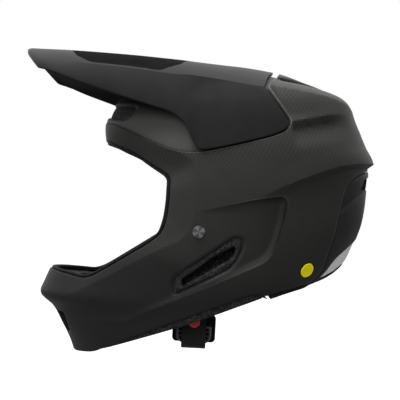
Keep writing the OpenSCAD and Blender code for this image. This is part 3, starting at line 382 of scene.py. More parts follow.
def line_distance(points, p):
    """Signed distance to an open line, positive to its left, and how far along it from 0 to 1."""
    q = np.array(points, dtype=float)
    lengths = np.linalg.norm(np.diff(q, axis=0), axis=1)
    starts = np.concatenate([[0], np.cumsum(lengths)])
    best, along, sign = np.full(len(p), 1e9), np.zeros(len(p)), np.ones(len(p))
    for k, (a, b) in enumerate(zip(q[:-1], q[1:])):
        far, t = to_segments(p, a, b)
        nearer = far < best - 1e-9
        side = (b[0] - a[0]) * (p[:, 1] - a[1]) - (b[1] - a[1]) * (p[:, 0] - a[0])
        best = np.where(nearer, far, best)
        along = np.where(nearer, (starts[k] + t * lengths[k]) / starts[-1], along)
        sign = np.where(nearer, np.sign(side), sign)
    return best * sign, along


def side_view(p):
    return p[:, 1:]


def front_view(p):
    return np.stack([np.abs(p[:, 0]), p[:, 2]], axis=1)


def top_view(p):
    return np.stack([np.abs(p[:, 0]), p[:, 1]], axis=1)


FAR = 60.0


class Outline:
    """A closed outline in a flat view; where is a test that says which places it can reach."""

    def __init__(self, points, view, corner=3.0, where=None):
        self.points = round_off(points, corner)
        self.view = view
        self.where = where

    def __call__(self, p):
        d = outline_distance(self.points, self.view(p))
        return d if self.where is None else np.where(self.where(p), d, FAR)


class Fold:
    """A line in the side view; gives the signed distance, positive above it."""

    def __init__(self, points):
        self.points = points

    def __call__(self, p):
        return line_distance(self.points, side_view(p))[0]

    def fade(self, p, start, end):
        along = line_distance(self.points, side_view(p))[1]
        return smooth(along / start) * smooth((1 - along) / end)


port = Outline(PORT, side_view, 2.5)
shell_foot = Outline(SHELL_FOOT, side_view, 3.0)
foam_foot = Outline(FOAM_FOOT, side_view, 3.0)
visor_bed = Outline(VISOR_BED, side_view, 2.5)
rear_area = Outline(REAR_AREA, side_view, 2.0)
nape_area = Outline(NAPE_AREA, side_view, 2.0)
rear_hollow = Outline(REAR_HOLLOW, side_view, 3.0)
side_vent = Outline(SIDE_VENT, side_view, 2.0)
side_slot = Outline(SIDE_SLOT, side_view, 1.5)
scoop = Outline(SCOOP, side_view, 3.0)
face_frame = Outline(FACE_FRAME, side_view, 6.0)
brow_slot = Outline(BROW_SLOT, lambda p: p[:, ::2], 2.5, lambda p: (p[:, 1] < -60) & (p[:, 2] > 40))
mouth_vent = Outline(MOUTH_VENT, front_view, 2.5, lambda p: (p[:, 1] < -110) & (p[:, 2] < -80))
rear_vent = Outline(REAR_VENT, front_view, 2.5, lambda p: (p[:, 1] > 60) & (p[:, 2] > -10))
crown_front = Outline(CROWN_SLOT_FRONT, top_view, 3.0, lambda p: p[:, 2] > 60)
crown_rear = Outline(CROWN_SLOT_REAR, top_view, 3.0, lambda p: p[:, 2] > 60)
# Centres of the visor's pivots and of the strap's rivets, as (y, z)
PIVOT, POCKET_R = (22, 92), 8.0
RIVET = (-36.0, -28.6)


def pivot_pocket(p):
    """Distance to the round pockets of the visor's two pivots."""
    return np.where(np.abs(p[:, 0]) > 30, np.hypot(p[:, 1] - PIVOT[0], p[:, 2] - PIVOT[1]) - POCKET_R, FAR)


shoulder_fold, lower_fold = Fold(SHOULDER_FOLD), Fold(LOWER_FOLD)
visor_fold, crown_fold, chin_fold = Fold(VISOR_FOLD), Fold(CROWN_FOLD), Fold(CHIN_FOLD)

# Surfaces under work, in bmesh


def new_surface(places, runs, closed=True, cap=None):
    """Surface from a grid of places, with each place's run along the cloth kept in its fibre layer."""
    bm = bmesh.new()
    layer = bm.verts.layers.float_vector.new("fibre")
    count, around = places.shape[:2]
    grid = [[bm.verts.new(places[i, j]) for j in range(around)] for i in range(count)]
    for i in range(count):
        for j in range(around):
            grid[i][j][layer] = (*runs[i, j], 0.0)
    for i in range(count - 1):
        for j in range(around if closed else around - 1):
            k = (j + 1) % around
            bm.faces.new((grid[i][j], grid[i + 1][j], grid[i + 1][k], grid[i][k]))
    if cap is not None:
        top = bm.verts.new(cap)
        top[layer] = (0.0, 0.0, 0.0)
        for j in range(around):
            bm.faces.new((top, grid[0][j], grid[0][(j + 1) % around]))
    bm.normal_update()
    return bm


def places_of(bm):
    return np.array([v.co[:] for v in bm.verts])


def score(bm, field, value=0.0, snap=0.08):
    """Adds edges where the field has this value, so that a fold, a lip or a cut can follow them."""
    bm.verts.index_update()
    f = field(places_of(bm)) - value
    f[np.abs(f) < snap] = 0.0
    if f.min() >= 0 or f.max() <= 0:
        return
    verts = list(bm.verts)
    # Dictionaries, as a set would give its places and faces in another order each run
    on = dict.fromkeys(verts[i] for i in np.nonzero(f == 0)[0])
    for e in [e for e in bm.edges if f[e.verts[0].index] * f[e.verts[1].index] < 0]:
        a, b = e.verts
        fa, fb = f[a.index], f[b.index]
        on[bmesh.utils.edge_split(e, a, fa / (fa - fb))[1]] = None
    for face in dict.fromkeys(g for v in on for g in v.link_faces):
        ring = list(face.verts)
        hits = [i for i, v in enumerate(ring) if v in on]
        if len(hits) < 2:
            continue
        pairs = [(i, j) for i in hits for j in hits if 1 < j - i < len(ring) - 1]
        if len(hits) > 2:
            sign = [0 if v in on else f[v.index] for v in ring]
            pairs = [
                (i, j) for i, j in pairs
                if sum(sign[i:j + 1]) * (sum(sign[j:]) + sum(sign[:i + 1])) < 0
            ]
        if pairs:
            i, j = pairs[0]
            bmesh.utils.face_split(face, ring[i], ring[j])


def score_all(bm, field, values):
    for value in values:
        score(bm, field, value)


def keep(bm, field, outside=True):
    """Deletes the faces inside an outline, or those outside it."""
    centres = np.array([g.calc_center_median()[:] for g in bm.faces])
    gone = [g for g, d in zip(bm.faces, field(centres)) if (d < 0) == outside]
    bmesh.ops.delete(bm, geom=gone, context="FACES")


def cut(bm, field, values, outside=True):
    """Scores a surface at these values and keeps what lies outside the first of them, or inside it."""
    score_all(bm, field, values)
    keep(bm, lambda p: field(p) - values[0], outside)


def sink(bm, depth):
    """Moves each place inwards by the depth that the function gives for it."""
    bm.normal_update()
    p = places_of(bm)
    n = np.array([v.normal[:] for v in bm.verts])
    q = p - n * depth(p)[:, None]
    for v, place in zip(bm.verts, q):
        v.co = place


def mark(bm, tone):
    """Notes in the fibre layer's third part the painted highlight (up to 1) or painted shade (down to -1) at
    each place.
    """
    layer = bm.verts.layers.float_vector["fibre"]
    for v, d in zip(bm.verts, tone(places_of(bm))):
        v[layer][2] = d


def make_object(bm, name, wall=0.0, angle=35.0):
    """Finishes a surface as an object in metres, with a wall inwards from it."""
    bmesh.ops.remove_doubles(bm, verts=bm.verts, dist=0.02)
    mesh = bpy.data.meshes.new(name)
    bm.to_mesh(mesh)
    bm.free()
    piece = bpy.data.objects.new(name, mesh)
    bpy.context.collection.objects.link(piece)
    if wall:
        solid = piece.modifiers.new("wall", "SOLIDIFY")
        solid.thickness = wall
        solid.offset = -1
        solid.use_even_offset = False
        apply_modifiers(piece)
    mesh.transform(Matrix.Scale(MM, 4))
    shade(piece, angle)
    return piece


def select_only(piece):
    bpy.ops.object.select_all(action="DESELECT")
    piece.select_set(True)
    bpy.context.view_layer.objects.active = piece


def apply_modifiers(piece):
    select_only(piece)
    for m in list(piece.modifiers):
        bpy.ops.object.modifier_apply(modifier=m.name)


def shade(piece, angle):
    select_only(piece)
    bpy.ops.object.shade_smooth_by_angle(angle=math.radians(angle))
    piece.select_set(False)


# Depth of the shell's forms below its outer surface


def rounding(d, radius):
    """Depth of a quarter round along an edge, at this distance from the edge."""
    t = np.clip(1 - np.abs(d) / radius, 0, 1)
    return radius * (1 - np.sqrt(np.maximum(1 - t * t, 0)))


def bed_depth(p):
    """Seat of the visor, shallower towards its front."""
    ramp = 0.15 + 0.85 * smooth((p[:, 1] + 122) / 60)
    return BED_DEPTH * ramp * smooth((0.5 - visor_bed(p)) / 1.1)


def scoop_floor(p):
    """Depth of the side scoop's floor: a main hollow that runs back and a low one below the vent."""
    y, z = p[:, 1], p[:, 2]
    main = 0.094 * np.maximum(y + 40, 0) ** 2 / (np.maximum(y + 40, 0) + 8)
    below_vent = smooth((-62 - z - 0.42 * (y + 40)) / 18)
    low = 2.3 * smooth((y + 106) / 66) * smooth((20 - y) / 50) * below_vent
    return np.maximum(main, low)


def scoop_depth(p):
    t = np.clip(-scoop(p) / 6.0, 0, 1)
    return scoop_floor(p) * (1 - (1 - t) ** 2)


def face_depth(p):
    """Slope of the frame round the window for the eyes."""
    y, z = p[:, 1], p[:, 2]
    ahead = np.where(z > 20, smooth((y + 126) / 30), smooth((y + 186) / 50))
    slope = 0.19 + 0.17 * smooth((z - 10) / 25) + 0.13 * smooth((-20 - z) / 25)
    return slope * ahead * np.maximum(-face_frame(p), 0)


def tent(d, above, below):
    """One on a line, falling evenly to nothing at these distances above and below it."""
    return np.maximum(1 - np.where(d > 0, d / above, -d / below), 0)


def shoulder_step(p):
    """Slanted step between the shoulder's two creases, which dies out below the lower one."""
    y = p[:, 1]
    up, low = shoulder_fold(p), lower_fold(p)
    share = np.clip(-up / np.maximum(low - up, 0.5), 0, 1)
    share = np.where(up > 0, 0, np.where(low < 0, 1, share))
    height = 1.8 * smooth((y - 14) / 24) + 3.6 * smooth((y - 20) / 70)
    step = height * share * (1 - smooth((-low - 8) / 52))
    upper_ridge = 1.3 * smooth((y - 14) / 40) * tent(up, 16, 4)
    return step - upper_ridge - 0.5 * smooth((y - 34) / 30) * tent(low, 3, 3)


VISOR_FOLD_DROP, VISOR_FOLD_RISE, CROWN_RISE, CHIN_RISE = 4.2, 1.0, 4.8, 0.7


def fold_depth(p):
    """The creases: each is a ridge that stands proud, most with a hollow below it."""
    depth = shoulder_step(p)
    d = visor_fold(p)
    fade = visor_fold.fade(p, 0.1, 0.5)
    drop = np.where(d > 0, 0, smooth(-d / 6.5) * (1 - smooth((-d - 7) / 22)))
    depth += fade * (VISOR_FOLD_DROP * drop - VISOR_FOLD_RISE * tent(d, 6, 6.5))
    d = crown_fold(p)
    behind_visor = smooth((visor_bed(p) + 0.5) / 3)
    depth -= CROWN_RISE * crown_fold.fade(p, 0.08, 0.3) * tent(d, 13, 20) * behind_visor
    return depth - CHIN_RISE * chin_fold.fade(p, 0.3, 0.3) * tent(chin_fold(p), 5, 5)


def lips(p):
    """Rounds the shell off where it is cut; the side vent's edge is a chamfer that hollows out."""
    depth = np.zeros(len(p))
    for edge, radius in (
        (port, EDGE_R), (shell_foot, EDGE_R), (rear_area, 1.0), (brow_slot, SLOT_R), (mouth_vent, MOUTH_R),
        (crown_front, SLOT_R), (crown_rear, SLOT_R),
    ):
        depth = np.maximum(depth, rounding(edge(p), radius))
    t = np.clip(1 - np.abs(side_vent(p)) / VENT_R, 0, 1)
    return np.maximum(depth, VENT_R * t * t)


def shell_depth(p):
    return bed_depth(p) + scoop_depth(p) + face_depth(p) + fold_depth(p) + lips(p)


PATHS = {}


def walk_rim(rim):
    """Places and normals round a closed rim, in order, starting at the front of the chin."""
    start = min(rim, key=lambda v: (v.co.y, v.co.z))
    path, last, here = [], None, start
    while here and (here is not start or last is None):
        path.append((here.co.copy(), rim[here]))
        ahead = [e.other_vert(here) for e in here.link_edges if e.is_boundary]
        ahead = [v for v in ahead if v in rim and v is not last and (v is not start or len(path) > 2)]
        last, here = here, ahead[0] if ahead else None
    return np.array([[*a, *b] for a, b in path])


def near_line(d, reach):
    """One at a distance of nothing, falling evenly to nothing at the reach."""
    return np.maximum(1 - np.abs(d) / reach, 0)


def painted_edge_light(p):
    """Painted light for the shell: painted highlights where the clear finish would catch the light on an edge
    and over the brow panel, painted shade in the corner below an edge and in the rear seam's gap.
    """
    y, z = p[:, 1], p[:, 2]
    # Painted highlights: thin bright lines on the lips of the visor's bed, the scoop, the rear seam and the
    # side vent
    bed = near_line(visor_bed(p) - 0.38, 0.42) * smooth((y + 60) / 20)
    top = 0.35 * smooth((y + 20) / 40) * smooth((z + 10) / 8)
    low = 0.5 * smooth((-48 - z) / 10) * smooth((y + 95) / 40)
    rim = near_line(scoop(p) - 0.3, 0.4) * np.maximum(top, low)
    seam = near_line(rear_area(p) - 0.9, 0.5) * 0.6
    vent = near_line(side_vent(p) - 1.0, 0.8) * smooth((-58 - z) / 10) * 0.5
    # Painted shade: dark lines in the scoop's rear corner and in the rear seam's gap
    corner = near_line(scoop(p) + 0.7, 1.1) * smooth((y - 26) / 8) * smooth((-z) / 6) * 0.9
    gap = near_line(rear_area(p) - REAR_GAP, 0.25)
    # Painted highlight: the brow panel under the visor made lighter
    panel = smooth(-visor_bed(p) / 3) * smooth(face_frame(p) / 2)
    brow = 0.3 * panel * smooth((-36 - y) / 12) * smooth((96 - z) / 24)
    return np.maximum.reduce([bed, rim, seam, vent, brow]) - np.maximum(corner, gap)


SHELL_COLUMNS = 170
SHELL_ROWS = 128


def shell_surface(columns=SHELL_COLUMNS, rows=SHELL_ROWS):
    places, runs = level_grid(OUTER, columns, rows)
    return new_surface(places, runs, cap=(0, 6, 131.1))


def make_outer_shell():
    """Cuts the openings, scores the creases, sinks the forms and notes the window's rim for its trims."""
    bm = shell_surface()
    for field, values in (
        (port, (0, 0.35, EDGE_R)), (shell_foot, (0, 0.35, EDGE_R)), (rear_area, (REAR_GAP, 0.7, 1.35)),
        (side_vent, (0, 0.8, VENT_R)), (brow_slot, (0, 0.6, SLOT_R)), (mouth_vent, (0, 0.6, MOUTH_R)),
        (crown_front, (0, 0.6, SLOT_R)), (crown_rear, (0, 0.6, SLOT_R)),
    ):
        cut(bm, field, values)
    score_all(bm, visor_bed, (-0.6, -0.25, 0, 0.25, 0.5, 0.8))
    score_all(bm, scoop, (-5, -2.6, -1.8, -0.7, 0, 0.3, 0.7))
    for field in (face_frame, shoulder_fold, lower_fold, crown_fold, visor_fold, chin_fold):
        score(bm, field)
    rims = [v for v in bm.verts if v.is_boundary]
    near = np.abs(port(np.array([v.co[:] for v in rims]))) < 0.12
    # Painted highlights and painted shade along the edges, for the shell's colour
    mark(bm, painted_edge_light)
    bm.normal_update()
    facing = {v: v.normal.copy() for v, on in zip(rims, near) if on}
    sink(bm, shell_depth)
    PATHS["window"] = walk_rim(facing)
    return make_object(bm, "shell_skin", SHELL_WALL)


def run_across(table, values):
    """Runs along a grid's columns and rows, for the pattern of a piece that has its own grid."""
    columns = travelled(table[:, 0])
    return columns[:, None] + 0 * values[None, :], values[None, :] + 0 * columns[:, None]


def thicken(bm, inner):
    """Closes a surface into a thick wall whose other face has the given places."""
    verts, faces = list(bm.verts), list(bm.faces)
    layer = bm.verts.layers.float_vector["fibre"]
    for i, v in enumerate(verts):
        v.index = i
    rim = [e for e in bm.edges if len(e.link_faces) == 1]
    copies = []
    for v, place in zip(verts, inner):
        twin = bm.verts.new(place)
        twin[layer] = v[layer]
        copies.append(twin)
    for e in rim:
        loop = e.link_loops[0]
        a, b = loop.vert, loop.link_loop_next.vert
        bm.faces.new((b, a, copies[a.index], copies[b.index]))
    for face in faces:
        bm.faces.new([copies[v.index] for v in reversed(face.verts)])


def side_x(y, z, rows=OUTER):
    """Half width of a level surface at places seen from the side."""
    steps = np.linspace(0, len(rows) - 1, 2001)
    y, z = np.atleast_1d(y), np.atleast_1d(z)
    r = blend_rows(rows, np.interp(-z, -blend_rows(rows, steps)[:, 0], steps))
    back = y > r[:, 4]
    reach = np.where(back, r[:, 2] - r[:, 4], r[:, 4] - r[:, 1])
    n = np.where(back, r[:, 6], r[:, 5])
    share = np.minimum(np.abs(y - r[:, 4]) / reach, 1)
    return r[:, 3] * np.maximum(1 - share ** n, 0) ** (1 / n)


def join_rings(bm, a, b):
    """Closes the band between two rings of the same count; its normals are set right later."""
    for j in range(len(a)):
        k = (j + 1) % len(a)
        bm.faces.new((a[j], a[k], b[k], b[j]))


def lathe(name, centre, axis, profile, sides=72, angle=30):
    """Turned piece: rows of radius and height along the axis, from the middle of its face to its back."""
    axis = Vector(axis).normalized()
    u = axis.orthogonal().normalized()
    v = axis.cross(u)
    bm = bmesh.new()
    rings = []
    for r, h in profile:
        foot = Vector(centre) + axis * h
        turn = [2 * math.pi * k / sides for k in range(sides)]
        rings.append([bm.verts.new(foot + (u * math.cos(t) + v * math.sin(t)) * r) for t in turn])
    for a, b in zip(rings, rings[1:]):
        join_rings(bm, a, b)
    bm.faces.new(rings[0])
    bm.faces.new(rings[-1])
    bmesh.ops.recalc_face_normals(bm, faces=bm.faces)
    return make_object(bm, name, 0, angle)


BADGE = (62.5, -64.0)
BADGE_FACE = [(4.9, 0.95), (5.5, 0.97), (5.75, 1.15), (6.35, 1.15), (6.75, 0.95), (6.9, 0.6), (6.9, 0.35)]


def make_badge():
    """Round badge with a raised rim, bare inside it."""
    y, z = BADGE
    slope_y = (side_x(y + 2, z)[0] - side_x(y - 2, z)[0]) / 4
    slope_z = (side_x(y, z + 2)[0] - side_x(y, z - 2)[0]) / 4
    return lathe("badge_disc", (side_x(y, z)[0], y, z), (1, -slope_y, -slope_z), BADGE_FACE)


# Visor

VISOR_WALL, VISOR_EDGE_R = 2.4, 1.2
INSERT_SETBACK, INSERT_LIFT, INSERT_WALL = 1.3, 0.3, 0.5
VISOR_EDGE = [
    (-260, 121), (-188.5, 124.6), (-174, 120.5), (-154, 112.1), (-126, 101.9), (-94, 91.1), (-60, 79.9),
    (-48, 69.4), (-39.4, 49.2), (-34.6, 44.6), (-16, 47.4), (6, 52.3), (26, 57.1), (37.8, 61.2),
    (44, 65.2), (47, 71.6), (36.4, 88.2), (26, 105.8), (41, 128), (41, 200), (-260, 200),
]
visor_edge = Outline(VISOR_EDGE, side_view, 3.0)
HOLLOW_SIDE = [(0, -165), (38, -153), (55, -138), (60.5, -73), (36, -54), (0, -44)]
VISOR_HOLLOW = HOLLOW_SIDE + [(-x, y) for x, y in HOLLOW_SIDE[-2:0:-1]]
visor_hollow = Outline(VISOR_HOLLOW, lambda p: p[:, :2], 2.5)


def visor_places(v, i):
    """Places on the visor's outer face at column v and row i, from -8 on the right to 8 on the left."""
    c = blend_rows(VISOR, v)
    k = np.abs(i)
    s = np.where(k <= 4, k / 4, k / 4 - 1)[:, None]
    top = c[:, 0] + (c[:, 1] - c[:, 0]) * s
    top[:, 2] = c[:, 0, 2] - (c[:, 0, 2] - c[:, 1, 2]) * s[:, 0] ** 1.6
    low = c[:, 1] + (c[:, 2] - c[:, 1]) * s
    flat = low[:, 0] + 12 * s[:, 0] * (1 - s[:, 0])
    shell = side_x(low[:, 1], low[:, 2])
    near = np.maximum(6 - np.abs(flat - shell), 0) / 6
    low[:, 0] = np.maximum(flat, shell) + near * near * 1.5
    out = np.where((k <= 4)[:, None], top, low)
    out[:, 0] *= np.where(i < 0, -1, 1)
    return out


def visor_depth(p):
    """Hollow in the visor's top, its bent front lip and its rounded edge."""
    d = visor_hollow(p)
    back = smooth((-60 - p[:, 1]) / 30)
    depth = (1.8 + 3.4 * back) * smooth((0.6 - d) / 1.6) * np.minimum(np.abs(p[:, 0]) / 40, 1)
    nose = 3.4 * smooth((-201 - p[:, 1]) / 6)
    return depth + nose + rounding(np.minimum(visor_edge(p), 0), VISOR_EDGE_R)


def visor_surface():
    v = np.concatenate([np.linspace(0, 0.12, 4), np.linspace(0.12, 12, 150)[1:]])
    half = np.concatenate([np.linspace(0, 3.93, 26), [3.97, 4.0, 4.03], np.linspace(4.07, 8.5, 36)])
    i = np.concatenate([-half[:0:-1], half])
    places = np.array([visor_places(np.full(len(i), a), i) for a in v])
    along, across = run_across(places, i * 18.0)
    bm = new_surface(places, np.stack([along, across], axis=2), closed=False)
    bmesh.ops.reverse_faces(bm, faces=bm.faces)
    return bm


def make_visor():
    bm = visor_surface()
    score_all(bm, visor_edge, (-VISOR_EDGE_R, -0.6, -0.25, 0))
    keep(bm, visor_edge, outside=False)
    score_all(bm, visor_hollow, (-1, -0.5, 0, 0.6))
    sink(bm, visor_depth)
    return make_object(bm, "visor_peak", VISOR_WALL, 30)


def make_visor_shade_sheet():
    """Thin grained sheet set into the floor of the visor's hollow, darker than the visor as painted shade for
    the hollow.
    """
    bm = visor_surface()
    cut(bm, lambda p: visor_hollow(p) + INSERT_SETBACK, (0,), outside=False)
    keep(bm, lambda p: 100 - p[:, 2], outside=False)
    sink(bm, lambda p: visor_depth(p) - INSERT_LIFT)
    return make_object(bm, "visor_shade_sheet", INSERT_WALL, 30)


# Rear cover and nape panel


COVER_INSET, REAR_VENT_R, NAPE_R = 0.2, 2.0, 1.6


def rear_depth(p):
    """Hollow of the rear vent above the cover's ledge, the shoulder's step below it, and the edges."""
    hollow = smooth((0.4 - rear_hollow(p)) / 2.0)
    depth = COVER_INSET + (LEDGE_DEPTH - COVER_INSET) * hollow
    depth = depth + np.maximum(shoulder_step(p), 0) * (1 - hollow)
    depth += rounding(rear_area(p), EDGE_R)
    for edge, radius in ((rear_vent, REAR_VENT_R), (nape_area, NAPE_R), (shell_foot, EDGE_R)):
        depth = np.maximum(depth, rounding(edge(p), radius))
    return depth


def make_rear_cover():
    bm = shell_surface()
    cut(bm, rear_area, (0, -0.35, -EDGE_R), outside=False)
    cut(bm, shell_foot, (0, EDGE_R))
    cut(bm, nape_area, (0, 0.5, NAPE_R))
    cut(bm, rear_vent, (0, 0.5, REAR_VENT_R))
    score_all(bm, rear_hollow, (-1.6, -0.6, 0.4))
    score(bm, shoulder_fold)
    score(bm, lower_fold)
    sink(bm, rear_depth)
    return make_object(bm, "rear_cover_skin", SHELL_WALL)


def make_nape_panel():
    """Panel a little smaller than its place in the cover and set in from it."""
    bm = shell_surface()
    side = lambda p: nape_area(p) + NAPE_GAP
    foot = lambda p: shell_foot(p) - 0.3
    cut(bm, side, (0, -0.4, -EDGE_R), outside=False)
    cut(bm, foot, (0, 0.4, EDGE_R))
    near = lambda p: np.minimum(np.abs(side(p)), np.abs(foot(p)))
    sink(bm, lambda p: NAPE_INSET + rounding(near(p), EDGE_R))
    return make_object(bm, "nape_panel_skin", SHELL_WALL)


# Foam

FOAM_SPLIT, SPLIT_Y = 0.8, -77
FOAM_SETBACK, FOAM_FOOT_R, FOAM_SLOT_R = 0.8, 3.0, 2.0
VENT_FRAME_RISE = 1.9
FOAM_REACH = 0.985


def inner_tree():
    """The head space, closed at its crown, for walls that reach it."""
    places, runs = level_grid(INNER, 60, 60)
    bm = new_surface(places, runs, cap=(0, 4, 101.1))
    tree = BVHTree.FromBMesh(bm)
    bm.free()
    return tree


def foam_depth(p):
    """The foam follows the shell's forms at its inset and fills the frame of the side vent."""
    rear = smooth((2.0 - rear_area(p)) / 2.0)
    forms = bed_depth(p) + scoop_depth(p) + face_depth(p) + np.maximum(fold_depth(p), 0)
    depth = FOAM_INSET + np.maximum(forms, 4.9 * rear)
    depth -= VENT_FRAME_RISE * smooth((-0.4 - side_vent(p)) / 1.6)
    return depth + rounding(foam_foot(p), FOAM_FOOT_R) + rounding(side_slot(p), FOAM_SLOT_R)


def make_foam(name, chin, tree):
    """Foam between the shell and the head space, of the chin bar or of the rest of the helmet."""
    bm = shell_surface(130, 96)
    cut(bm, foam_foot, (0, 0.8, FOAM_FOOT_R))
    cut(bm, lambda p: port(p) - FOAM_SETBACK, (0,))
    cut(bm, side_slot, (0, 0.6, FOAM_SLOT_R))
    for field in (rear_vent, mouth_vent, crown_front, crown_rear, pivot_pocket):
        cut(bm, field, (0,))
    gap = FOAM_SPLIT / 2 if chin else -FOAM_SPLIT / 2
    cut(bm, lambda p: np.maximum(p[:, 1] - SPLIT_Y + gap, p[:, 2] + gap), (0,), outside=not chin)
    if not chin:
        score_all(bm, side_vent, (-2.0, -0.4))
    sink(bm, foam_depth)
    bm.normal_update()
    inner = []
    for v in bm.verts:
        hit = tree.ray_cast(v.co, -v.normal, 60)[0]
        near = tree.find_nearest(v.co)[0]
        reach = near if hit is None or (hit - v.co).length > 1.6 * (near - v.co).length else hit
        inner.append(v.co + (reach - v.co) * FOAM_REACH)
    thicken(bm, inner)
    return make_object(bm, name, 0, 40)


# Finishes


def node_of(tree, kind, **values):
    node = tree.nodes.new(kind)
    for name, value in values.items():
        setattr(node, name, value)
    return node


def math_node(tree, operation, a, b=None):
    node = node_of(tree, "ShaderNodeMath", operation=operation)
    for socket, value in zip(node.inputs, (a, b)):
        if value is None:
            continue
        if isinstance(value, (int, float)):
            socket.default_value = value
        else:
            tree.links.new(value, socket)
    return node.outputs[0]


def set_inputs(node, tree, **values):
    for name, value in values.items():
        socket = node.inputs[name.replace("_", " ")]
        if isinstance(value, bpy.types.NodeSocket):
            tree.links.new(value, socket)
        else:
            socket.default_value = value
    return node


def new_group(name, inputs, outputs):
    tree = bpy.data.node_groups.new(name, "ShaderNodeTree")
    for label, kind, value in inputs:
        socket = tree.interface.new_socket(label, in_out="INPUT", socket_type=kind)
        if value is not None:
            socket.default_value = value
    for label, kind in outputs:
        tree.interface.new_socket(label, in_out="OUTPUT", socket_type=kind)
    return tree, tree.nodes.new("NodeGroupInput").outputs, tree.nodes.new("NodeGroupOutput").inputs


# Width of a tow in millimetres, and how much wider those that cross it are
TOW_WIDTH, TOW_STRETCH = 0.98, 1.42


def twill_group():
    """Two over, two under weave: which tow is on top, and its rounded height."""
    tree, given, out = new_group(
        "twill_weave", [("Vector", "NodeSocketVector", None), ("Tow width", "NodeSocketFloat", TOW_WIDTH)],
        [("Tow", "NodeSocketFloat"), ("Height", "NodeSocketFloat")],
    )
    parts = node_of(tree, "ShaderNodeSeparateXYZ")
    tree.links.new(given["Vector"], parts.inputs[0])
    s = math_node(tree, "DIVIDE", parts.outputs[0], given["Tow width"])
    crossing = math_node(tree, "MULTIPLY", given["Tow width"], TOW_STRETCH)
    t = math_node(tree, "DIVIDE", parts.outputs[1], crossing)
    cells = math_node(tree, "ADD", math_node(tree, "FLOOR", s), math_node(tree, "FLOOR", t))
    tow = math_node(tree, "LESS_THAN", math_node(tree, "FLOORED_MODULO", cells, 4.0), 2.0)
    heights = []
    for value in (s, t):
        double = math_node(tree, "MULTIPLY", math_node(tree, "FRACT", value), 2.0)
        share = math_node(tree, "SUBTRACT", double, 1.0)
        heights.append(math_node(tree, "SUBTRACT", 1.0, math_node(tree, "MULTIPLY", share, share)))
    mix = node_of(tree, "ShaderNodeMix", data_type="FLOAT")
    tree.links.new(tow, mix.inputs[0])
    tree.links.new(heights[1], mix.inputs[2])
    tree.links.new(heights[0], mix.inputs[3])
    tree.links.new(tow, out["Tow"])
    tree.links.new(mix.outputs[0], out["Height"])
    return tree


def speckle_group():
    """Fine moulded grain: broad patches and small grains, each from 0 to 1."""
    tree, given, out = new_group(
        "moulded_grain", [("Vector", "NodeSocketVector", None), ("Grain size", "NodeSocketFloat", 0.8)],
        [("Patches", "NodeSocketFloat"), ("Grain", "NodeSocketFloat")],
    )
    scale = math_node(tree, "DIVIDE", 1000.0, given["Grain size"])
    for label, share, detail in (("Patches", 0.04, 3.0), ("Grain", 1.0, 2.0)):
        noise = node_of(tree, "ShaderNodeTexNoise")
        tree.links.new(given["Vector"], noise.inputs["Vector"])
        tree.links.new(math_node(tree, "MULTIPLY", scale, share), noise.inputs["Scale"])
        noise.inputs["Detail"].default_value = detail
        tree.links.new(noise.outputs["Fac"], out[label])
    return tree


TWILL = twill_group()
GRAIN = speckle_group()


def new_material(name, **shader):
    material = bpy.data.materials.new(name)
    material.use_nodes = True
    tree = material.node_tree
    set_inputs(tree.nodes["Principled BSDF"], tree, **shader)
    return material, tree, tree.nodes["Principled BSDF"]


def coordinates(tree):
    return node_of(tree, "ShaderNodeTexCoord").outputs["Object"]


def grain_in(tree, size):
    group = node_of(tree, "ShaderNodeGroup", node_tree=GRAIN)
    tree.links.new(coordinates(tree), group.inputs["Vector"])
    group.inputs["Grain size"].default_value = size
    return group.outputs["Patches"], group.outputs["Grain"]


def mix_colour(tree, factor, dark, light):
    mix = node_of(tree, "ShaderNodeMix", data_type="RGBA")
    tree.links.new(factor, mix.inputs[0])
    for socket, value in ((mix.inputs[6], dark), (mix.inputs[7], light)):
        if isinstance(value, bpy.types.NodeSocket):
            tree.links.new(value, socket)
        else:
            socket.default_value = value
    return mix.outputs[2]


def ramp(tree, factor, low, high, to_low=0.0, to_high=1.0):
    node = node_of(tree, "ShaderNodeMapRange")
    set_inputs(node, tree, Value=factor, From_Min=low, From_Max=high, To_Min=to_low, To_Max=to_high)
    return node.outputs[0]


def bump(tree, height, strength, distance):
    node = node_of(tree, "ShaderNodeBump")
    set_inputs(node, tree, Height=height, Strength=strength, Distance=distance)
    return node.outputs[0]


def grey(level, alpha=1.0):
    return (level, level, level, alpha)


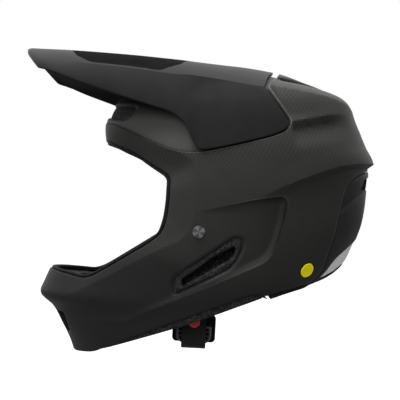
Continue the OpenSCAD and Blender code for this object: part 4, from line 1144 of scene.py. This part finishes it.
def shell_material():
    """Woven fibre under a satin clear finish, with painted highlights on edges, painted shade in corners and
    gaps, and painted shade darkening it low at the chin.
    """
    material, tree, shader = new_material("shell_weave", Roughness=0.4, Specular_IOR_Level=0.08)
    fibre = node_of(tree, "ShaderNodeAttribute", attribute_name="fibre")
    weave = node_of(tree, "ShaderNodeGroup", node_tree=TWILL)
    tree.links.new(fibre.outputs["Vector"], weave.inputs["Vector"])
    weave.inputs["Tow width"].default_value = TOW_WIDTH
    parts = node_of(tree, "ShaderNodeSeparateXYZ")
    tree.links.new(fibre.outputs["Vector"], parts.inputs[0])
    patches, grain = grain_in(tree, 1.2)
    base = mix_colour(tree, weave.outputs["Tow"], (0.0195, 0.0193, 0.0185, 1), (0.0262, 0.0259, 0.0250, 1))
    worn = mix_colour(tree, ramp(tree, patches, 0.3, 0.7, 0.0, 0.35), base, (0.0265, 0.0261, 0.0250, 1))
    # Painted shade where the fibre layer's third part is below 0, in corners and gaps
    painted_shade = mix_colour(tree, ramp(tree, parts.outputs[2], -1, 0, 1, 0), worn, grey(0.006))
    # Painted highlight where it is above 0, along lips and over the brow panel
    painted_highlight = mix_colour(tree, ramp(tree, parts.outputs[2], 0, 1), painted_shade, (0.12, 0.119, 0.113, 1))
    # Painted shade: the colour goes darker, with less weave, low on the shell and most of all at the front of
    # the chin bar
    place = node_of(tree, "ShaderNodeSeparateXYZ")
    tree.links.new(coordinates(tree), place.inputs[0])
    down = math_node(tree, "SUBTRACT", math_node(tree, "MULTIPLY", place.outputs[1], -0.3), place.outputs[2])
    low_shade = ramp(tree, down, 0.060, 0.092, 0.0, 0.8)
    low_shaded = mix_colour(tree, low_shade, painted_highlight, grey(0.0125))
    tow_rough = ramp(tree, weave.outputs["Tow"], 0, 1, 0.40, 0.48)
    rough = math_node(tree, "ADD", tow_rough, ramp(tree, grain, 0, 1, 0.0, 0.06))
    set_inputs(shader, tree, Base_Color=low_shaded, Roughness=rough,
               Normal=bump(tree, weave.outputs["Height"], 0.25, 0.0002))
    return material


def moulded_material(name, dark, light, roughness, size=0.7, strength=0.3, specular=0.3):
    """Moulded plastic or rubber with a fine grain."""
    material, tree, shader = new_material(name, Specular_IOR_Level=specular)
    patches, grain = grain_in(tree, size)
    base = mix_colour(tree, ramp(tree, patches, 0.3, 0.7), dark, light)
    rough = ramp(tree, grain, 0.2, 0.8, roughness - 0.05, roughness + 0.05)
    set_inputs(shader, tree, Base_Color=base, Roughness=rough, Normal=bump(tree, grain, strength, 0.0001))
    return material


def foam_material():
    """Beaded foam: rounded cells pressed together, dark grey with some spread in tone."""
    material, tree, shader = new_material("bead_foam", Specular_IOR_Level=0.1, Roughness=0.75)
    cells = node_of(tree, "ShaderNodeTexVoronoi", feature="F1")
    edges = node_of(tree, "ShaderNodeTexVoronoi", feature="DISTANCE_TO_EDGE")
    place = coordinates(tree)
    for texture in (cells, edges):
        tree.links.new(place, texture.inputs["Vector"])
        texture.inputs["Scale"].default_value = 420.0
    tone = node_of(tree, "ShaderNodeSeparateColor")
    tree.links.new(cells.outputs["Color"], tone.inputs[0])
    base = mix_colour(tree, tone.outputs[0], grey(0.015), grey(0.045))
    seam = ramp(tree, edges.outputs["Distance"], 0.0, 0.12)
    shaded = mix_colour(tree, seam, grey(0.008), base)
    set_inputs(shader, tree, Base_Color=shaded, Normal=bump(tree, seam, 0.6, 0.0004))
    return material


MATERIALS = {
    "shell_weave": shell_material(),
    "cover_black": moulded_material("cover_black", grey(0.013), grey(0.019), 0.46, 0.6, 0.3, 0.1),
    "nape_grey": moulded_material("nape_grey", grey(0.82), grey(0.88), 0.55, 0.9, 0.2),
    "foam": foam_material(),
    "trim_rubber": moulded_material("trim_rubber", grey(0.005), grey(0.009), 0.6, 0.5, 0.25, 0.08),
    "badge_yellow": moulded_material(
        "badge_yellow", (0.88, 0.74, 0.002, 1), (0.94, 0.80, 0.003, 1), 0.4, 0.5, 0.05, 0.12),
    "visor_black": moulded_material("visor_black", grey(0.0034), grey(0.0048), 0.42, 0.5, 0.35, 0.14),
    # Painted shade: darker than the visor's black, standing in for the shade in the visor's hollow
    "visor_shade_sheet": moulded_material("visor_shade_sheet", grey(0.0012), grey(0.0024), 0.8, 0.6, 0.5, 0.04),
    "bush_plastic": moulded_material("bush_plastic", grey(0.02), grey(0.03), 0.5),
    "slip_yellow": moulded_material(
        "slip_yellow", (0.55, 0.5, 0.02, 1), (0.62, 0.56, 0.03, 1), 0.4, 0.8, 0.1),
}


def metal_material(name, level, roughness, turned=None):
    """Satin metal with fine brushing, turned round a centre where one is given, with painted highlights and
    painted shade in four sectors round that centre.
    """
    material, tree, shader = new_material(name, Metallic=1.0)
    place = coordinates(tree)
    if turned:
        mapping = node_of(tree, "ShaderNodeMapping")
        tree.links.new(place, mapping.inputs["Vector"])
        mapping.inputs["Location"].default_value = [-c * MM for c in turned]
        parts = node_of(tree, "ShaderNodeSeparateXYZ")
        tree.links.new(mapping.outputs[0], parts.inputs[0])
        angle = math_node(tree, "ARCTAN2", parts.outputs[2], parts.outputs[1])
        # Painted highlight and painted shade: four lighter and darker sectors stand in for the light on a
        # faceted head; the finer lines added to them are brushing
        facet_light = math_node(tree, "SINE", math_node(tree, "MULTIPLY", angle, 4.0))
        flutter = math_node(tree, "SINE", math_node(tree, "MULTIPLY", angle, 46.0))
        lines = math_node(tree, "ADD", facet_light, math_node(tree, "MULTIPLY", flutter, 0.35))
        value = ramp(tree, lines, -1.3, 1.3)
        base = mix_colour(tree, value, grey(level * 0.35), grey(level * 1.5))
    else:
        noise = node_of(tree, "ShaderNodeTexNoise")
        set_inputs(noise, tree, Vector=place, Scale=900.0, Detail=2.0)
        value = noise.outputs["Fac"]
        base = mix_colour(tree, value, grey(level * 0.85), grey(level * 1.1))
    set_inputs(shader, tree, Base_Color=base, Roughness=ramp(tree, value, 0, 1, roughness, roughness + 0.12))
    return material


def cloth_material(name, dark, light, pitch=1.0, sheen=0.04, strength=0.5):
    """Knitted or brushed cloth."""
    material, tree, shader = new_material(
        name, Roughness=0.9, Specular_IOR_Level=0.06, Sheen_Weight=sheen, Sheen_Roughness=0.5)
    cells = node_of(tree, "ShaderNodeTexVoronoi", feature="F1")
    tree.links.new(coordinates(tree), cells.inputs["Vector"])
    cells.inputs["Scale"].default_value = 1000.0 / pitch
    grain = grain_in(tree, 1.5)[1]
    knit = ramp(tree, cells.outputs["Distance"], 0.0, 0.7, 1.0, 0.0)
    base = mix_colour(tree, ramp(tree, math_node(tree, "ADD", knit, grain), 0.4, 1.4), dark, light)
    set_inputs(shader, tree, Base_Color=base, Normal=bump(tree, knit, strength, 0.0003))
    return material


MATERIALS.update({
    "rivet_steel": metal_material("rivet_steel", 0.16, 0.45, (0, *RIVET)),
    "stud_aluminium": metal_material("stud_aluminium", 0.5, 0.35),
    "ring_steel": metal_material("ring_steel", 0.075, 0.5),
    "pad_fabric": cloth_material("pad_fabric", grey(0.07), grey(0.13), 1.0),
    "cheek_fabric": cloth_material("cheek_fabric", grey(0.010), grey(0.022), 1.0),
    "webbing": cloth_material("webbing", grey(0.010), grey(0.022), 0.9),
    "flap_fabric": cloth_material("flap_fabric", grey(0.007), grey(0.014), 0.7),
    "snap_red": moulded_material(
        "snap_red", (0.50, 0.040, 0.042, 1), (0.56, 0.05, 0.052, 1), 0.4, 0.6, 0.1, 0.12),
})

SLOTS = {row["node"]: row["material_slot"] for row in frame["record"]["subparts"]}


def finish_piece(piece, slot, body, nodes=(), finish=None):
    """Gives a piece its finish, its body and the CAD nodes that it replaces."""
    piece.data.materials.clear()
    piece.data.materials.append(MATERIALS[finish or slot])
    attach(piece, body)
    if nodes:
        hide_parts(*nodes)


def dress_nodes():
    """Gives each CAD node its finish; those that are replaced stay hidden."""
    for name, slot in SLOTS.items():
        piece = bpy.data.objects[name]
        for entry in piece.material_slots:
            entry.material = MATERIALS[slot]


# Swept pieces


def resample(path, step, closed=False, passes=2):
    """Evenly spaced rows of a path, each row averaged with its neighbours."""
    if closed:
        path = np.concatenate([path, path[:1]])
    travel = travelled(path[:, :3])
    count = max(int(travel[-1] / step), 3)
    goal = np.linspace(0, travel[-1], count + 1)
    rows = np.stack([np.interp(goal, travel, path[:, i]) for i in range(path.shape[1])], axis=1)
    if closed:
        rows = rows[:-1]
    for _ in range(passes):
        before, after = np.roll(rows, 1, axis=0), np.roll(rows, -1, axis=0)
        even = (before + 2 * rows + after) / 4
        if not closed:
            even[0], even[-1] = rows[0], rows[-1]
        rows = even
    return rows


def unit_rows(v):
    return v / np.maximum(np.linalg.norm(v, axis=1), 1e-9)[:, None]


def sweep(name, path, u, v, profile, closed=False, angle=40, scale=None):
    """Carries a closed profile along a path; u and v are the directions of its two coordinates."""
    bm = bmesh.new()
    layer = bm.verts.layers.float_vector.new("fibre")
    count = len(path)
    travel = travelled(path)
    profile = np.array(profile, dtype=float)
    girth = travelled(profile)
    rings = []
    for i in range(count):
        k = 1.0 if scale is None else scale[i]
        ring = []
        for j, (a, b) in enumerate(profile):
            vert = bm.verts.new(path[i] + u[i] * a * k + v[i] * b * k)
            vert[layer] = (travel[i], girth[j], a)
            ring.append(vert)
        rings.append(ring)
    for i in range(count if closed else count - 1):
        join_rings(bm, rings[i], rings[(i + 1) % count])
    if not closed:
        bm.faces.new(rings[0])
        bm.faces.new(rings[-1][::-1])
    bmesh.ops.recalc_face_normals(bm, faces=bm.faces)
    return make_object(bm, name, 0, angle)


TRIM_SECTION = [
    (-2.85, 0.1), (-0.6, 0.12), (-0.1, 0.5), (0.25, 1.2), (0.25, 2.0), (-0.2, 2.7), (-1.1, 3.1), (-2.4, 3.15),
    (-3.6, 2.8), (-4.3, 2.0), (-4.5, 0.9), (-4.5, -2.0), (-4.2, -2.5), (-3.4, -2.6), (-2.95, -2.2),
]


def trim_piece(name, path):
    """Rubber bulb along a cut edge, fuller at the jambs and the nape, with a lip behind the shell."""
    places, normals = path[:, :3], unit_rows(path[:, 3:6])
    y, z = places[:, 1], places[:, 2]
    full = 1 + 0.45 * smooth((28 - z) / 12) * smooth((z + 34) / 12) + 0.45 * smooth(y / 20)
    along = np.gradient(places, axis=0)
    into = unit_rows(path[:, 6:9] - normals * np.sum(path[:, 6:9] * normals, axis=1)[:, None])
    along = unit_rows(along)
    into = unit_rows(into - along * np.sum(into * along, axis=1)[:, None])
    return sweep(name, places, normals, into, TRIM_SECTION, scale=full)


def window_path():
    """The rim of the window for the eyes, with its normals and the direction into the opening."""
    path = PATHS["window"]
    p = path[:, :3]
    e = 0.6
    slope = np.stack([
        np.zeros(len(p)),
        port(p + (0, e, 0)) - port(p - (0, e, 0)),
        port(p + (0, 0, e)) - port(p - (0, 0, e)),
    ], axis=1)
    return resample(np.concatenate([path, -unit_rows(slope)], axis=1), TRIM_STEP, closed=True, passes=3)


TRIM_JOINT, TRIM_GAP, TRIM_STEP = 5, 0.12, 1.6


def make_window_trims():
    """Brow and chin trims, which meet at the jambs."""
    path = window_path()
    high = path[:, 2] > TRIM_JOINT
    first = next(i for i in range(len(path)) if high[i] and not high[i - 1])
    path = np.roll(path, -first, axis=0)
    top, low = path[path[:, 2] > TRIM_JOINT], path[path[:, 2] <= TRIM_JOINT]
    reach = lambda a, b, z: a + (b - a) * (z - a[2]) / (b[2] - a[2])
    heights = (TRIM_JOINT + TRIM_GAP / 2, TRIM_JOINT - TRIM_GAP / 2)
    ends = [[reach(low[-1], top[0], z), reach(top[-1], low[0], z)] for z in heights]
    top = np.array([ends[0][0], *top, ends[0][1]])
    low = np.array([ends[1][1], *low, ends[1][0]])
    return trim_piece("brow_edge_trim", top), trim_piece("chin_edge_trim", low)


def make_neck_trim():
    """Trim along the neck's edge, found on the outer form by halving."""
    edge = np.array(NECK_EDGE)
    edge_z = lambda y: np.interp(y, edge[:, 0], edge[:, 1])
    rows = []
    for a in np.linspace(26, 154, 120):
        lo, hi = 11.0, 19.9
        for _ in range(24):
            v = (lo + hi) / 2
            p = level_points(OUTER, np.array([v]), np.array([a]))[0]
            if p[2] > edge_z(p[1]):
                lo = v
            else:
                hi = v
        n = level_normals(OUTER, np.array([v]), np.array([a]))[0]
        slope = (edge_z(p[1] + 2) - edge_z(p[1] - 2)) / 4
        inset = 0.3 + NAPE_INSET * smooth((p[1] - 62) / 6)
        rows.append([*(p - n * inset), *n, 0, slope, -1])
    return trim_piece("neck_edge_trim", resample(np.array(rows), TRIM_STEP))


# Strap, rings and flap

WEB_W, WEB_T = 23.0, 1.6
STRAP_LEAN = math.radians(-2.9)
HANGER_X = float(side_x(RIVET[0] - 9, RIVET[1] + 9, INNER)[0]) - 1.3
SLOT_Z = RIVET[1] - 18
RING_X, RING_WIRE, RING_GAP, RING_TOP, RING_H, RING_INNER = 62.5, 3.0, 0.4, -118.5, 13.5, 27.0
RING_BEND = 5.0
LOOP_R = (2 * RING_WIRE + RING_GAP) / 2 + WEB_T / 2 + 0.4
RING_MID = RING_X + (RING_WIRE + RING_GAP) / 2
TAIL_X = RING_MID + LOOP_R + WEB_T + 0.6


def on_strap(p):
    """Leans places with the strap, about the rivets."""
    q = np.array(p, dtype=float)
    y, z = q[:, 1] - RIVET[0], q[:, 2] - RIVET[1]
    c, s = math.cos(STRAP_LEAN), math.sin(STRAP_LEAN)
    q[:, 1], q[:, 2] = RIVET[0] + y * c - z * s, RIVET[1] + y * s + z * c
    return q


def arc(radius, turns):
    """Points at a distance from the origin, at these angles in degrees."""
    return [(radius * math.cos(math.radians(a)), radius * math.sin(math.radians(a))) for a in turns]


def hanger_loop():
    turn = [(2, -12), (2, -3), (1.2, -1.2), (0, -0.6), (-1.2, -1.2), (-2, -3), (-2, -12)]
    return [(HANGER_X + x, SLOT_Z + z) for x, z in turn]


def left_route():
    """Way of the left tape, as (x, z): from the hanger down, round both rings and up again."""
    loop = [(RING_MID + x, RING_TOP + z) for x, z in arc(LOOP_R, range(0, -181, -15))]
    return [
        *hanger_loop(), (79.5, -75), (78.5, -87), (75, -97), (RING_MID + LOOP_R + 0.6, -104),
        (RING_MID + LOOP_R, -110), *loop, (RING_MID - LOOP_R, -112), (RING_MID - LOOP_R, -106),
    ]


def right_route():
    """Way of the right tape: its stowed tail, under the chin and up to the right hanger."""
    return [
        (TAIL_X, -107.5), (TAIL_X, -126), (TAIL_X, -131.4), (TAIL_X - 1.4, -134.6), (TAIL_X - 4.4, -136.4),
        (60, -138), (48, -140.4), (30, -143), (10, -144.8), (-10, -145), (-30, -143), (-48, -138.6),
        (-62, -130.5), (-71, -119), (-76.5, -104), (-78.8, -88), (-79.3, -75),
        *[(-x, z) for x, z in hanger_loop()[::-1]],
    ]


def web_section():
    """Section of the tape: flat faces and rounded, slightly thicker edges."""
    half, t = WEB_W / 2, WEB_T / 2
    edge = [(half - 0.1, 0.35), (half - 0.45, 0.68), (half - 1.2, t - 0.02)]
    top = [*edge, (half - 2.4, t - 0.12), (0, t - 0.12)]
    upper = top + [(-a, b) for a, b in top[-2::-1]]
    return upper + [(-a, -b) for a, b in upper]


def make_webbing(name, route):
    path = resample(np.array([(x, RIVET[0], z) for x, z in route]), 1.2, passes=2)
    path = on_strap(path)
    along = unit_rows(np.gradient(path, axis=0))
    u = on_strap(np.array([[0, RIVET[0] + 1.0, RIVET[1]]]))[0] - (0, RIVET[0], RIVET[1])
    u = np.repeat(u[None, :], len(path), axis=0)
    return sweep(name, path, u, unit_rows(np.cross(along, u)), web_section(), angle=50)


def rounded_loop(w, h, r, steps=8):
    """Outline of a rectangle with round corners."""
    u, v = w / 2 - r, h / 2 - r
    corners = [(u, v, 0), (-u, v, 90), (-u, -v, 180), (u, -v, 270)]
    return [
        (x + c, z + s)
        for x, z, a in corners for c, s in arc(r, [a + i * 90 / steps for i in range(steps + 1)])
    ]


FLAP_W, FLAP_H, FLAP_T, FLAP_TOP = 40.5, 26.0, 2.6, -107.5
# Inset from the flap's edge and half its thickness there
FLAP_LEVELS = [
    (0.0, 0.9), (0.15, 1.15), (0.5, 1.28), (1.2, 1.3), (2.2, 1.22), (2.6, 0.92), (3.0, 0.92), (4.2, 1.2),
    (7.0, 1.3), (11.0, 1.3),
]


def make_flap():
    """Padded comfort flap behind the rings: a soft centre with a bound and stitched edge."""
    x_mid = RING_MID - LOOP_R - WEB_T / 2 - 0.3 - FLAP_T / 2
    bm = bmesh.new()
    layer = bm.verts.layers.float_vector.new("fibre")
    sides = []
    for side in (1, -1):
        rings = []
        for inset, half in FLAP_LEVELS:
            ring = []
            for y, z in rounded_loop(FLAP_W - 2 * inset, FLAP_H - 2 * inset, max(4.0 - inset, 0.6)):
                place = (x_mid + side * half, RIVET[0] + y, FLAP_TOP - FLAP_H / 2 + z)
                vert = bm.verts.new(on_strap([place])[0])
                vert[layer] = (y, z, inset)
                ring.append(vert)
            rings.append(ring)
        for a, b in zip(rings, rings[1:]):
            join_rings(bm, a, b)
        bm.faces.new(rings[-1])
        sides.append(rings[0])
    join_rings(bm, *sides)
    bmesh.ops.recalc_face_normals(bm, faces=bm.faces)
    return make_object(bm, "comfort_flap", 0, 50)


def make_ring(name, x, teeth):
    """D-shaped ring of bent wire, with two small teeth on each side arm."""
    half = (RING_INNER + RING_WIRE) / 2
    bend = arc(RING_BEND, np.linspace(0, 90, 9))
    corner = [(half - RING_BEND + c, -RING_H + RING_BEND - s) for c, s in bend]
    route = [(half, 0), *corner, *[(-y, z) for y, z in corner[::-1]], (-half, 0)]
    path = np.array([(x, RIVET[0] + y, RING_TOP + z) for y, z in route])
    path = on_strap(resample(path, 1.0, closed=True, passes=1))
    along = unit_rows(np.roll(path, -1, axis=0) - np.roll(path, 1, axis=0))
    u = np.repeat(np.array([[1.0, 0, 0]]), len(path), axis=0)
    circle = arc(RING_WIRE / 2, range(0, 360, 20))
    ring = sweep(name, path, u, unit_rows(np.cross(along, u)), circle, closed=True, angle=60)
    if teeth:
        add_teeth(ring, x, half)
    return ring


TOOTH_R, TOOTH_TIP_R, TOOTH_LENGTH = 1.3, 0.75, 3.4


def add_teeth(ring, x, half):
    """Small cones on the inner sides of a ring's arms, joined to it."""
    for side in (-1, 1):
        for z in (-4.4, -8.4):
            bpy.ops.mesh.primitive_cone_add(
                vertices=16, radius1=TOOTH_R, radius2=TOOTH_TIP_R, depth=TOOTH_LENGTH)
            tooth = bpy.context.object
            place = on_strap(np.array([[x, RIVET[0] + side * (half - 2.2), RING_TOP + z]]))[0]
            turn = Matrix.Rotation(math.radians(90 * side), 4, "X")
            tooth.data.transform(Matrix.Translation(Vector(place)) @ turn)
            tooth.data.transform(Matrix.Scale(MM, 4))
            shade(tooth, 40)
            tooth.select_set(True)
            ring.select_set(True)
            bpy.context.view_layer.objects.active = ring
            bpy.ops.object.join()
            ring.select_set(False)


# Pads


def cad_copy(node, name):
    """Copy of a CAD node's mesh with its doubles merged."""
    mesh = bpy.data.objects[node].data.copy()
    piece = bpy.data.objects.new(name, mesh)
    bpy.context.collection.objects.link(piece)
    bm = bmesh.new()
    bm.from_mesh(mesh)
    bmesh.ops.remove_doubles(bm, verts=bm.verts, dist=1e-6)
    bm.to_mesh(mesh)
    bm.free()
    return piece


PAD_PRESSURE, PAD_FRAMES = 4, 20


def puff(node, name, swell, voxel=0.004, shrink=0.0012):
    """Pad swollen by cloth pressure from a slightly smaller copy of its CAD solid."""
    piece = cad_copy(node, name)
    select_only(piece)
    size = piece.modifiers.new("even", "REMESH")
    size.mode = "VOXEL"
    size.voxel_size = voxel
    apply_modifiers(piece)
    bm = bmesh.new()
    bm.from_mesh(piece.data)
    bmesh.ops.smooth_vert(bm, verts=bm.verts, factor=0.5, use_axis_x=True, use_axis_y=True, use_axis_z=True)
    bm.normal_update()
    for v in bm.verts:
        v.co -= v.normal * shrink
    bm.to_mesh(piece.data)
    bm.free()
    start = np.array([v.co[:] for v in piece.data.vertices])
    cloth = piece.modifiers.new("fill", "CLOTH")
    cloth.settings.use_pressure = True
    cloth.settings.uniform_pressure_force = PAD_PRESSURE
    cloth.settings.effector_weights.gravity = 0
    for number in range(1, PAD_FRAMES + 1):
        bpy.context.scene.frame_set(number)
    swollen = piece.evaluated_get(bpy.context.evaluated_depsgraph_get()).to_mesh()
    places = np.array([v.co[:] for v in swollen.vertices])
    piece.modifiers.clear()
    bpy.context.scene.frame_set(1)
    move = places - start
    reach = np.linalg.norm(move, axis=1)
    move *= (np.minimum(reach, swell) / np.maximum(reach, 1e-9))[:, None]
    for v, place in zip(piece.data.vertices, start + move):
        v.co = place
    smooth_out = piece.modifiers.new("fine", "SUBSURF")
    smooth_out.levels = smooth_out.render_levels = 1
    apply_modifiers(piece)
    shade(piece, 60)
    return piece


def mirrored_copy(piece, name):
    mesh = piece.data.copy()
    mesh.transform(Matrix.Scale(-1, 4, (1, 0, 0)))
    mesh.flip_normals()
    twin = bpy.data.objects.new(name, mesh)
    bpy.context.collection.objects.link(twin)
    return twin


def make_pads():
    """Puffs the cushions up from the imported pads. The right ones mirror the left."""
    for node, slot, fill in (("brow_pad", "pad_fabric", 0.6), ("rear_pad", "pad_fabric", 0.6),
                             ("crown_pad", "pad_fabric", 0.5)):
        pad = puff(node, node + "_cushion", 0.0016)
        finish_piece(pad, slot, "slip", [node])
    for node, slot, body, fill in (
        ("side_pad", "pad_fabric", "slip", 0.6), ("cheek_pad", "cheek_fabric", "shell", 0.7),
    ):
        left = puff(node + "_left", node + "_cushion_left", 0.0018)
        right = mirrored_copy(left, node + "_cushion_right")
        for pad, side in ((left, "left"), (right, "right")):
            finish_piece(pad, slot, body, [f"{node}_{side}"])


# Assembly

dress_nodes()
finish_piece(make_outer_shell(), "shell_weave", "shell", ["outer_shell"])
finish_piece(make_visor(), "visor_black", "visor", ["visor"])
# Dark sheet in the visor's hollow, painted shade
finish_piece(make_visor_shade_sheet(), "visor_black", "visor", finish="visor_shade_sheet")
finish_piece(make_badge(), "badge_yellow", "shell", ["round_badge"])
finish_piece(make_rear_cover(), "cover_black", "shell", ["rear_cover"])
finish_piece(make_nape_panel(), "nape_grey", "shell", ["nape_panel"])
HEAD_SPACE = inner_tree()
finish_piece(make_foam("crown_foam", False, HEAD_SPACE), "foam", "shell", ["foam_liner"])
finish_piece(make_foam("chin_foam_block", True, HEAD_SPACE), "foam", "shell", ["chin_foam"])
for trim, node in zip((*make_window_trims(), make_neck_trim()), ("brow_trim", "chin_trim", "neck_trim")):
    finish_piece(trim, "trim_rubber", "shell", [node])
finish_piece(make_webbing("strap_tape_left", left_route()), "webbing", "strap", ["strap_left"])
finish_piece(make_webbing("strap_tape_right", right_route()), "webbing", "strap", ["strap_right"])
finish_piece(make_flap(), "flap_fabric", "strap", ["strap_flap"])
outer_ring = make_ring("ring_wire_outer", RING_X + RING_WIRE + RING_GAP, True)
finish_piece(outer_ring, "ring_steel", "outer_ring", ["ring_outer"])
inner_ring = make_ring("ring_wire_inner", RING_X, False)
finish_piece(inner_ring, "ring_steel", "inner_ring", ["ring_inner_side"])
make_pads()
